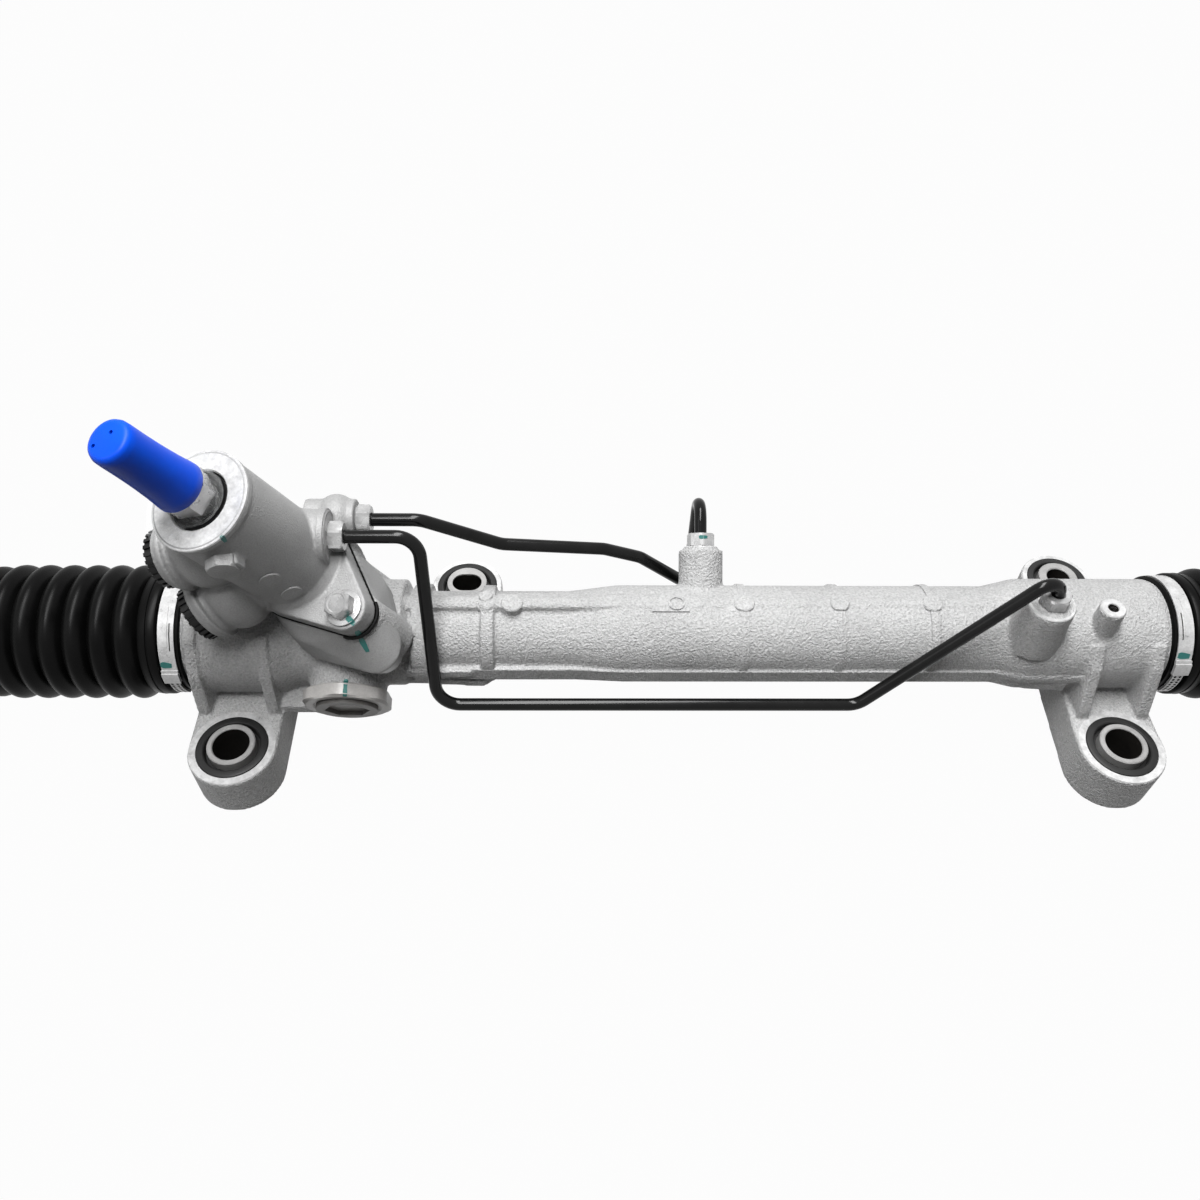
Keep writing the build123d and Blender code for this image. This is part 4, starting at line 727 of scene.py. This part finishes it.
def boot(side, end_x, name):
    """A boot in two pieces: the bellows, and the tip with the small end."""
    origin = Vector((end_x, RACK_Y, RACK_Z))
    axis = Vector((side, 0, 0))
    lip = [(1.5, 28.1), (1.5, 29.9), (1.9, 30.4), (2.9, 30.4), (3.3, 29.6), (12.2, 29.6), (12.5, 31.5), (13.0, 32.0)]
    lip += [(16.3, 32.0), (16.6, 31.6), (17.0, 31.6), (17.3, 32.1), (20.8, 31.6), (21.4, 31.0), (22.0, 29.4)]
    outer = lip + boot_profile(0, SPLIT_FOLD)
    split = LIP_END + SPLIT_FOLD * PITCH
    outer.append((split, valley(SPLIT_FOLD)))
    inner = [(s, r - SKIN) for s, r in reversed(outer[len(lip) :])]
    main = revolve(outer + inner + [(22.0, 28.1)], origin, axis, segments=112)
    first = piece(f"{name}_boot_bellows", main, boot_rubber, None, sharp=50)
    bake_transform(first)
    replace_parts(first, f"{name}_boot")
    outer = boot_profile(SPLIT_FOLD, FOLDS)
    end = LIP_END + FOLDS * PITCH
    outer += [(end, LAST_VALLEY), (end + 3, 12.2), (end + 5, 10.5), (end + 15, 10.5)]
    outer += [(end + 15.6, 9.9), (end + 15.6, 8.2)]
    tip = revolve(outer + [(s, r - SKIN) for s, r in reversed(outer[:-4])], origin, axis, segments=96)
    second = piece(f"{name}_boot_tip", tip, boot_rubber, None, sharp=50)
    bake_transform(second)


boot(-1, GEAR_END, "gear_side")
boot(1, FAR_END, "far_side")


# Boot clamps
def ring_strip(origin, axis, low, high, inner, outer, start, stop, steps=40):
    """A closed strip bent round an axis between two angles in degrees above the front."""
    corners = ((low, inner), (high, inner), (high, outer), (low, outer))
    ways = [rack_way(start + (stop - start) * k / steps) for k in range(steps + 1)]
    return loft([[origin + axis * s + way * r for s, r in corners] for way in ways])


# Strips of a clamp, rows of (low and high station, inner and outer radius, first and last angle from the hook, steps)
CLAMP_STRIPS = [
    (3.7, 11.5, 29.95, 30.68, 0, 302, 120),
    (5.0, 10.2, 29.95, 30.68, -59, 1, 40),
    (6.8, 8.4, 30.5, 31.1, 28, 66, 40),
    (3.5, 11.7, 30.6, 31.6, 1, 4, 4),
    (3.5, 11.7, 30.6, 32.4, -11, 1, 12),
    (5.0, 10.2, 30.6, 31.3, -44, -11, 24),
]


def clamp(side, end_x, name, hook):
    """A crimped band, its holes and slot drawn as dark marks on it: painted shade over the black rubber beneath; hook
    is the angle of the folded hook above the front.
    """
    origin, axis = Vector((end_x, RACK_Y, RACK_Z)), ALONG * side
    parts = []
    for *sizes, first, last, steps in CLAMP_STRIPS:
        parts.append(ring_strip(origin, axis, *sizes, hook + first, hook + last, steps))
    band = piece(f"{name}_clamp_band", join_meshes("clamp", parts), bright_band, "housing", sharp=28)
    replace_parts(band, f"{name}_boot_clamp")
    # Holes and slot: dark discs and a dark strip on the band, painted shade in the holes over the black rubber
    holes = Build()
    for k in range(7):
        way = rack_way(hook - 15 - 4.0 * k)
        for s in (6.3, 8.9):
            holes.cone(origin + axis * s + way * 31.0, origin + axis * s + way * 31.34, 0.7, segments=20)
    slot = ring_strip(origin, axis, 5.5, 6.0, 30.6, 30.76, hook + 24, hook + 50)
    dark = join_meshes("holes", [holes.mesh("holes"), slot])
    piece(f"{name}_clamp_hole_shade", dark, painted_hole_shade, "housing", sharp=30)


clamp(-1, GEAR_END, "gear_side", 9.0)
clamp(1, FAR_END, "far_side", 21.0)


# Turned and hexagonal hardware
def nut_rows(height, flats, bore):
    """Rows of a chamfered nut, from the bore at one end to the bore at the other."""
    corner = flats / 2 / math.cos(math.pi / 6)
    return [
        (0.0, bore, False),
        (0.0, flats * 0.49, False),
        (0.7, corner, True),
        (height - 0.9, corner, True),
        (height, flats * 0.49, False),
        (height, bore + 0.5, False),
        (height - 0.6, bore, False),
    ]


PORTS = [(LOW_PORT, ALONG), (HIGH_PORT, ALONG), (MID_PORT, MID_WAY), (FAR_PORT, UP)]
nuts = [hex_mesh(at, way, nut_rows(7.0, 13.0, 3.25), 13.0, spin=0.2 * n) for n, (at, way) in enumerate(PORTS)]
union_nuts = piece("union_nuts", join_meshes("union_nuts", nuts), zinc, "housing", sharp=24)
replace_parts(union_nuts, "pipe_union_nuts")


BOLT_FLATS = 12.0


def bolt_mesh(at, way, spin):
    """A flange bolt head: washer, chamfered hexagon and the dished top."""
    corner = BOLT_FLATS / 2 / math.cos(math.pi / 6)
    rows = [
        (-17.0, 3.9, False),
        (0.0, 3.9, False),
        (0.0, 8.2, False),
        (0.4, 8.9, False),
        (1.3, 8.9, False),
        (1.9, 7.2, False),
        (2.0, corner, True),
        (7.0, corner, True),
        (8.0, 5.7, False),
        (8.0, 4.6, False),
        (7.5, 4.1, False),
    ]
    return hex_mesh(at, way, rows, BOLT_FLATS, spin)


bolts = [bolt_mesh(pin(FLANGE_TOP, *FRONT_BOLT), p_dir, 0.87), bolt_mesh(pin(FLANGE_TOP, *BACK_BOLT), p_dir, 0.0)]
flange_bolts = piece("flange_bolts", join_meshes("flange_bolts", bolts), zinc, "housing", sharp=24)
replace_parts(flange_bolts, "valve_housing_bolts")

# Rack guide lock nut and plug
NODES["rack_guide_plug"].data.materials[0] = plug_steel
lock_rows = [
    (0.0, 15.6, False),
    (0.0, 20.6, False),
    (0.9, 22.6, True),
    (6.4, 22.6, True),
    (7.4, 20.6, False),
    (7.4, 17.2, False),
    (6.6, 16.2, False),
    (6.6, 15.6, False),
]
lock = hex_mesh(rack_centre + to_yoke * 33.0, to_yoke, lock_rows, 42.0, spin=math.radians(30))
lock_nut = piece("guide_lock_nut", lock, nut_steel, "housing", sharp=24)
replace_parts(lock_nut, "rack_guide_lock_nut")

# Bushes, with painted shade lining their bores
def sleeve_profile(bore, outer):
    inside = [(0, bore + 0.5), (0.5, bore), (30.5, bore), (31, bore + 0.5)]
    return inside + [(31, outer - 0.5), (30.5, outer), (0.5, outer), (0, outer - 0.5)]


def rubber_profile(inner, outer):
    """Rubber of a bush: flush rim, and a moat round the sleeve at both ends."""
    upper = [
        (28.6, outer - 0.2),
        (28.9, outer - 0.8),
        (28.9, inner + 2.6),
        (28.4, inner + 2.0),
        (25.0, inner + 1.5),
        (25.0, inner),
    ]
    lower = [(6.0, inner), (6.0, inner + 1.5), (2.6, inner + 2.0), (2.1, inner + 2.6)]
    return upper + lower + [(2.1, outer - 0.8), (2.4, outer - 0.2)]


def bore_shade_lining(name, inner, outer, stretch=0.0):
    """A near-black lining in the bore of a sleeve, round or stretched to a slot: painted shade inside the bore."""
    x, y = EARS[name][:2]
    profile = [(1.0, inner), (30.0, inner), (30.0, outer), (1.0, outer)]
    lining = revolve(profile, (x, y, 0), UP, segments=72, stretch=stretch)
    piece(f"{name}_bush_bore_shade", lining, painted_hole_shade, "housing", sharp=30)


ROUND_BORES = {"gear_side_front": 9.1, "far_side_front": 9.1, "far_side_rear": 6.5}
for name, bore in ROUND_BORES.items():
    x, y, _, outer, _ = EARS[name]
    tube = revolve(sleeve_profile(bore, outer), (x, y, 0), UP, segments=72)
    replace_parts(piece(f"{name}_bush_sleeve", tube, sleeve_steel, "housing", sharp=30), f"{name}_sleeve")
    bore_shade_lining(name, bore - 0.06, bore + 0.4)
bore_shade_lining("gear_side_rear", 6.09, 6.5, stretch=2.1)
for name in (*ROUND_BORES, "gear_side_rear"):
    x, y, hole, outer, _ = EARS[name]
    ring = revolve(rubber_profile(outer, hole), (x, y, 0), UP, segments=72)
    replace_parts(piece(f"{name}_bush_rubber", ring, bush_rubber, "housing", sharp=30), f"{name}_rubber")

# Black sealant in the joint of the valve housing, thicker round the front lobe
SEAM = [((0.0, 0.0), 25.5), (FRONT_BOLT, 11.0), (BACK_BOLT, 11.0)]
outline = []
for station in (47.95, 48.85):
    for centre, radius in SEAM:
        outline += pin_circle(station, centre, radius, 48)
seam = Build().hull(outline).mesh("seam")
joint_seal = piece("joint_seal", seam, seal_rubber, "housing", sharp=30)
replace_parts(joint_seal, "valve_housing_gasket")
bead = Build()
steps = [math.radians(a) for a in range(-118, 34, 8)]
for a, b in zip(steps[:-1], steps[1:]):
    ends = [pin(48.4, FRONT_BOLT[0] + 11.1 * math.cos(t), FRONT_BOLT[1] + 11.1 * math.sin(t)) for t in (a, b)]
    bead.cone(ends[0], ends[1], 0.95, segments=16).ball(ends[1], 0.98)
piece("sealant_bead", bead.mesh("bead"), seal_rubber, "housing", sharp=40)

# Machined faces round the bushes
for name, (x, y, hole, _, rim) in EARS.items():
    profile = [(-0.4, hole + 0.02), (0.12, hole + 0.1), (0.12, rim - 0.3), (-0.4, rim)]
    for side, face, way in (("top", 28.0, UP), ("under", 3.0, -UP)):
        ring = revolve(profile, (x, y, face), way)
        piece(f"{name}_ear_face_{side}", ring, machined, "housing", sharp=30)

# Machined tops of the port bosses and the tapped boss, rows of (name, centre, way, bore, rim, slot)
BOSS_TOPS = [
    ("far_port", (403.9, 41.5, 91.75), UP, 4.6, 11.7, "cast_aluminium"),
    ("tapped_boss", TAPPED_BOSS, UP, 2.6, 6.1, "cast_aluminium"),
    ("mid_port", MID_PORT, MID_WAY, 5.0, 8.8, "cast_aluminium"),
    ("low_port", LOW_PORT, ALONG, 5.0, 12.4, "valve_aluminium"),
]
for name, at, way, bore, rim, slot in BOSS_TOPS:
    profile = [(-0.5, bore), (0.08, bore + 0.2), (0.08, rim - 0.4), (-0.5, rim)]
    piece(f"{name}_face", revolve(profile, at, way, segments=72), machined, "housing", sharp=30)

# Ring face of the valve housing
ring_profile = [(-1.7, 22.0), (-1.6, 23.0), (-0.4, 23.1), (-0.1, 22.8), (-0.1, 22.2), (-0.6, 22.1), (-0.6, 21.7)]
ring_profile += [(0.05, 21.5), (0.05, 14.2), (-0.6, 13.62), (-6.0, 13.62), (-6.0, 14.5), (-1.7, 15.0)]
valve_ring = revolve(ring_profile, pin(130.4), p_dir, segments=128)
piece("valve_ring_face", valve_ring, machined, "housing", sharp=30)

# Input shaft cap
cap_profile = [
    (142.5, 10.4), (142.5, 11.2), (143.2, 11.5), (147.0, 11.1), (152.0, 10.6), (158.0, 10.2),
    (164.0, 9.9), (172.0, 9.7), (179.0, 9.65), (181.8, 9.5), (183.2, 8.9), (183.9, 7.8),
    (184.0, 6.8), (184.0, 0.0), (182.0, 0.0), (182.0, 8.0), (150.0, 8.4),
]
cap = revolve(cap_profile, pin(0.0), p_dir, segments=96)
vents = Build()
for side, away in ((1.6, 2.8), (-5.5, -1.8)):
    vents.cone(pin(181.0, side, away), pin(186.0, side, away), 0.85, segments=24)
cap = cut_by(cap, vents.mesh("vents"))
blue_cap = piece("blue_cap", cap, blue_plastic, "input_shaft", sharp=40)
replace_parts(blue_cap, "input_shaft_cap")

# Black face of the oil seal, and the clear film round the collar that lies over part of the ring
lip_profile = [(127.9, 9.4), (129.6, 9.2), (129.9, 9.9), (129.3, 11.2), (129.7, 12.9), (129.2, 13.55), (127.9, 13.55)]
lip = revolve(lip_profile, pin(0.0), p_dir)
piece("oil_seal_lip", lip, seal_rubber, "housing", sharp=40)

# Reach of the flap from the shaft axis, rows of (angle in degrees, radius)
FILM_NEAR, FILM_SLEEVE, FLAP_FROM = 12.5, 12.1, 0.6
FILM_EDGE = [(60, FILM_NEAR), (90, 22.0), (120, 23.4), (160, 24.0), (194, 24.6), (225, 26.6), (255, FILM_NEAR)]


def film_reach(angle):
    for (a, ra), (b, rb) in zip(FILM_EDGE[:-1], FILM_EDGE[1:]):
        if a <= angle <= b:
            return ra + (rb - ra) * (angle - a) / (b - a)
    return FILM_NEAR


def film_place(t, reach):
    """Station and radius from the top of the sleeve, where t is 0, to the edge of the flap, where it is 1."""
    if t < FLAP_FROM:
        return 142.2 - 17.3 * t, 11.3 + 0.8 * (t / FLAP_FROM) ** 2
    out = (t - FLAP_FROM) / (1 - FLAP_FROM)
    return 131.8 - 0.8 * math.sin(out * math.pi / 2), FILM_SLEEVE + (reach - FILM_SLEEVE) * out


def film_sheet(around=120, rows=16):
    """A thin crinkled film: a sleeve at the top, and a flap on the ring at the bottom."""
    verts, faces = [], []
    for layer in (0.0, 0.14):
        for k in range(around):
            angle = 360.0 * k / around
            turn = math.radians(angle)
            for i in range(rows):
                along, radius = film_place(i / (rows - 1), film_reach(angle))
                crease = math.sin(turn * 7 + i) * 0.16 + math.sin(turn * 17 + 2.3 * i) * 0.08
                point = pin(along + max(0.0, crease) + layer * 0.6) + way_round(angle) * (radius + crease + layer)
                verts.append(point * MM)
    size = around * rows
    for k in range(around):
        n = (k + 1) % around
        for i in range(rows - 1):
            a, b, c, d = k * rows + i, k * rows + i + 1, n * rows + i + 1, n * rows + i
            faces += [(a, b, c, d), (size + d, size + c, size + b, size + a)]
        for i in (0, rows - 1):
            faces.append((k * rows + i, n * rows + i, size + n * rows + i, size + k * rows + i))
    return mesh_from("film", verts, faces)


film = piece("clear_film_sleeve", film_sheet(), clear_film, "input_shaft", sharp=60)
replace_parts(film, "input_shaft_clear_sleeve")

# Tie rod ends: jam nuts, rolled threads, and the wire clips of the boots
def thread_ridge(origin, axis, low, high, core, crest, pitch=1.5, segments=28):
    """A closed helical ridge from one station to another."""
    axis, side, other = turn_frame(axis)
    sections = []
    for k in range(int((high - low) / pitch * segments) + 1):
        a = 2 * math.pi * k / segments
        way = side * math.cos(a) + other * math.sin(a)
        at = low + pitch * k / segments
        ridge = ((-0.46 * pitch, core), (0.0, crest), (0.46 * pitch, core))
        sections.append([Vector(origin) + axis * (at + s) + way * r for s, r in ridge])
    return loft(sections)


BALL_REACH, CLIP_STATION = 94.0, 189.1
WIRE_RING, WIRE = 11.65, 0.85
wire_turn = [k * math.pi / 4 for k in range(8)]
for side, end_x, name in ((-1, GEAR_END, "gear_side"), (1, FAR_END, "far_side")):
    axis = ALONG * side
    ball = Vector((end_x + side * BALL_REACH, RACK_Y, RACK_Z))
    nut = hex_mesh(ball + axis * 223.0, axis, nut_rows(10.0, 22.0, 7.12), 22.0, spin=0.1)
    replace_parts(piece(f"{name}_lock_nut", nut, zinc, f"{name}_tie_rod", sharp=24), f"{name}_jam_nut")
    ridges = [thread_ridge(ball, axis, 217.0, 222.4, 7.05, 7.42), thread_ridge(ball, axis, 233.6, 257.4, 6.95, 7.35)]
    piece(f"{name}_rod_thread", join_meshes("threads", ridges), dark_steel, f"{name}_tie_rod", sharp=50)
    origin = Vector((end_x, RACK_Y, RACK_Z))
    wire = []
    for at in (CLIP_STATION + 1.1, CLIP_STATION + 2.9):
        profile = [(at + WIRE * math.cos(a), WIRE_RING + WIRE * math.sin(a)) for a in wire_turn]
        wire.append(revolve(profile, origin, axis, segments=72))
    for low, angle in ((-0.2, 62), (2.4, 84)):
        tab = (CLIP_STATION + low, CLIP_STATION + low + 1.8, 11.6, 15.6)
        wire.append(ring_strip(origin, axis, *tab, angle, angle + 4, 4))
    wire = join_meshes("clip", wire)
    clip = piece(f"{name}_wire_clip", wire, dark_steel, f"{name}_tie_rod", sharp=30)
    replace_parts(clip, f"{name}_boot_spring_clip")

# Thread inside the tapped boss, in near-black: painted shade inside the hole
lining = [(-12.0, 2.49)] + [(-12.0 + 0.4 * k, 2.2 if k % 2 else 2.45) for k in range(1, 29)] + [(-0.4, 2.49)]
tapped = revolve(lining, TAPPED_BOSS, UP, segments=48)
piece("tapped_boss_thread", tapped, painted_hole_shade, "housing", sharp=20)

# Floor and world: white where the camera or a reflection sees them, dark as a source of light
def any_ray(nodes, links, *kinds):
    """A node output that is 1 for rays of the named kinds and 0 for the others."""
    path = nodes.new("ShaderNodeLightPath")
    out = path.outputs[kinds[0]]
    for kind in kinds[1:]:
        either = nodes.new("ShaderNodeMath")
        either.operation = "MAXIMUM"
        links.new(out, either.inputs[0])
        links.new(path.outputs[kind], either.inputs[1])
        out = either.outputs[0]
    return out


def mix_shaders(nodes, links, share, first, second, target):
    """Two shaders mixed into the surface of an output node; share is the share of the second."""
    mix = nodes.new("ShaderNodeMixShader")
    links.new(share, mix.inputs["Fac"])
    links.new(first, mix.inputs[1])
    links.new(second, mix.inputs[2])
    links.new(mix.outputs["Shader"], target.inputs["Surface"])


FLOOR_HALF, FLOOR_GAP = 6, 0.0002
corners = [(x * FLOOR_HALF, y * FLOOR_HALF, 0) for x, y in ((-1, -1), (1, -1), (1, 1), (-1, 1))]
floor_mesh = bpy.data.meshes.new("floor")
floor_mesh.from_pydata(corners, [], [(0, 1, 2, 3)])
floor = linked("floor", floor_mesh)
floor.location.z = cad_low.z - FLOOR_GAP
floor_material, nodes, links, shader = new_material("floor")
shader.inputs["Roughness"].default_value = 0.9
shader.inputs["Specular IOR Level"].default_value = 0.1
tint = noise_at(nodes, links, 3, 2.0)
tone = ramp(nodes, links, tint.outputs["Fac"], [(0.3, grey(0.03, 0.05)), (0.7, grey(0.04, 0.05))])
links.new(tone.outputs["Color"], shader.inputs["Base Color"])
glow = nodes.new("ShaderNodeEmission")
glow.inputs["Strength"].default_value = 1.0
share = nodes.new("ShaderNodeMath")
share.operation = "MULTIPLY"
share.inputs[1].default_value = 0.975
links.new(any_ray(nodes, links, "Is Camera Ray", "Is Glossy Ray"), share.inputs[0])
surface = nodes["Material Output"]
mix_shaders(nodes, links, share.outputs[0], shader.outputs["BSDF"], glow.outputs["Emission"], surface)
floor_mesh.materials.append(floor_material)
floor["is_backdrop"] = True

world = bpy.data.worlds.new("studio")
bpy.context.scene.world = world
world.use_nodes = True
nodes, links = world.node_tree.nodes, world.node_tree.links
seen, lit = nodes["Background"], nodes.new("ShaderNodeBackground")
for background, strength in ((seen, 1.0), (lit, 0.022)):
    background.inputs["Color"].default_value = (1, 1, 1, 1)
    background.inputs["Strength"].default_value = strength
rays = any_ray(nodes, links, "Is Camera Ray", "Is Glossy Ray", "Is Transmission Ray")
mix_shaders(nodes, links, rays, lit.outputs["Background"], seen.outputs["Background"], nodes["World Output"])


# Lights
def area_light(name, place, target, size, power):
    light = bpy.data.lights.new(name, "AREA")
    light.shape = "RECTANGLE"
    light.size, light.size_y = size
    light.energy = power
    obj = linked(name, light)
    obj.location = place
    obj.rotation_mode = "QUATERNION"
    obj.rotation_quaternion = (Vector(target) - Vector(place)).to_track_quat("-Z", "Y")


area_light("key", (0.1, 0.08, 1.5), (0.22, 0.05, 0.05), (1.5, 0.4), 47)
area_light("fill", (-1.1, -0.5, 1.1), (0.1, 0.0, 0.05), (0.7, 0.7), 2.6)

# Camera at the photograph's viewing angle
PITCH_DOWN, ROLL, YAW = math.radians(49.61), math.radians(-1.66), math.radians(2.0)
FOCAL_PX, FRAME_PX = 1052.0, 1200.0
CAMERA_PLACE = Vector((171.8, -286.9, 479.6)) * MM
flat = math.cos(PITCH_DOWN)
forward = Vector((math.sin(YAW) * flat, math.cos(YAW) * flat, -math.sin(PITCH_DOWN)))
level = Vector((math.cos(YAW), -math.sin(YAW), 0))
down = forward.cross(level)
right = level * math.cos(ROLL) + down * math.sin(ROLL)
down = -level * math.sin(ROLL) + down * math.cos(ROLL)
camera_data = bpy.data.cameras.new("camera")
camera_data.sensor_width = 36.0
camera_data.lens = 36.0 * FOCAL_PX / FRAME_PX
camera_data.clip_start = 0.01
camera = linked("camera", camera_data)
basis = Matrix((right, -down, -forward)).transposed().to_4x4()
camera.matrix_world = Matrix.Translation(CAMERA_PLACE) @ basis
bpy.context.scene.camera = camera
bpy.context.scene.view_settings.view_transform = "Standard"

# Inspection strokes of teal paint, laid on whatever the camera sees at those places of the frame
STROKE_STEPS = 6


def seen_from_camera(u, v, trees):
    """Where the ray through a pixel first meets one of the surfaces, and the normal turned to the camera."""
    centre = FRAME_PX / 2
    ray = (forward + right * ((u - centre) / FOCAL_PX) + down * ((v - centre) / FOCAL_PX)).normalized()
    hits = [tree.ray_cast(camera.matrix_world.translation, ray) for tree in trees]
    hits = [hit for hit in hits if hit[0]]
    if not hits:
        return None
    at, normal = min(hits, key=lambda hit: hit[3])[:2]
    return at, normal if normal.dot(ray) < 0 else -normal


def paint_stroke(name, pixels, width, targets):
    """A thin painted ribbon: pixels are (across, down) in the frame, width in millimetres."""
    graph = bpy.context.evaluated_depsgraph_get()
    trees = [BVHTree.FromObject(obj, graph) for obj in targets]
    spots = []
    for (ua, va), (ub, vb) in zip(pixels[:-1], pixels[1:]):
        for k in range(STROKE_STEPS):
            u, v = ua + (ub - ua) * k / STROKE_STEPS, va + (vb - va) * k / STROKE_STEPS
            spots.append(seen_from_camera(u, v, trees))
    spots = [spot for spot in spots if spot]
    sections = []
    for k, (at, normal) in enumerate(spots):
        ahead = spots[min(k + 1, len(spots) - 1)][0] - spots[max(k - 1, 0)][0]
        across = ahead.cross(normal).normalized() * (width / 2 * MM)
        across *= 0.9 + 0.1 * math.sin(k * 1.1) if 0 < k < len(spots) - 1 else 0.65
        corners = ((-1, -0.25), (1, -0.25), (1, 0.12), (-1, 0.12))
        sections.append([at + across * shift + normal * (lift * MM) for shift, lift in corners])
    return piece(name, loft(sections, 1.0), paint_mark, "housing", sharp=50)


bpy.context.view_layer.update()
found = bpy.data.objects
housings = [found["rack_casting"], found["valve_casting"], found["pinion_barrel"]]
guide_targets, ring_targets = housings + [found["guide_lock_nut"]], housings + [found["valve_ring_face"]]
paint_stroke("paint_bolt", [(347, 617), (356, 626)], 2.8, [found["flange_bolts"], found["valve_casting"]])
paint_stroke("paint_barrel", [(357, 631), (362, 641), (369, 654)], 2.8, housings)
paint_stroke("paint_guide", [(346, 679), (345, 690), (344.5, 703)], 2.2, guide_targets)
paint_stroke("paint_ring", [(221, 535.5), (226.8, 543)], 2.0, ring_targets)
paint_stroke("paint_mid_nut", [(699, 537), (709, 537)], 2.0, [found["union_nuts"]])
for name, first, last in (("gear_side", (160.5, 665), (174, 666)), ("far_side", (1178, 655.5), (1192, 656.5))):
    paint_stroke(f"paint_{name}_clamp", [first, last], 3.6, [found[f"{name}_clamp_band"]])

low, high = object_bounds()
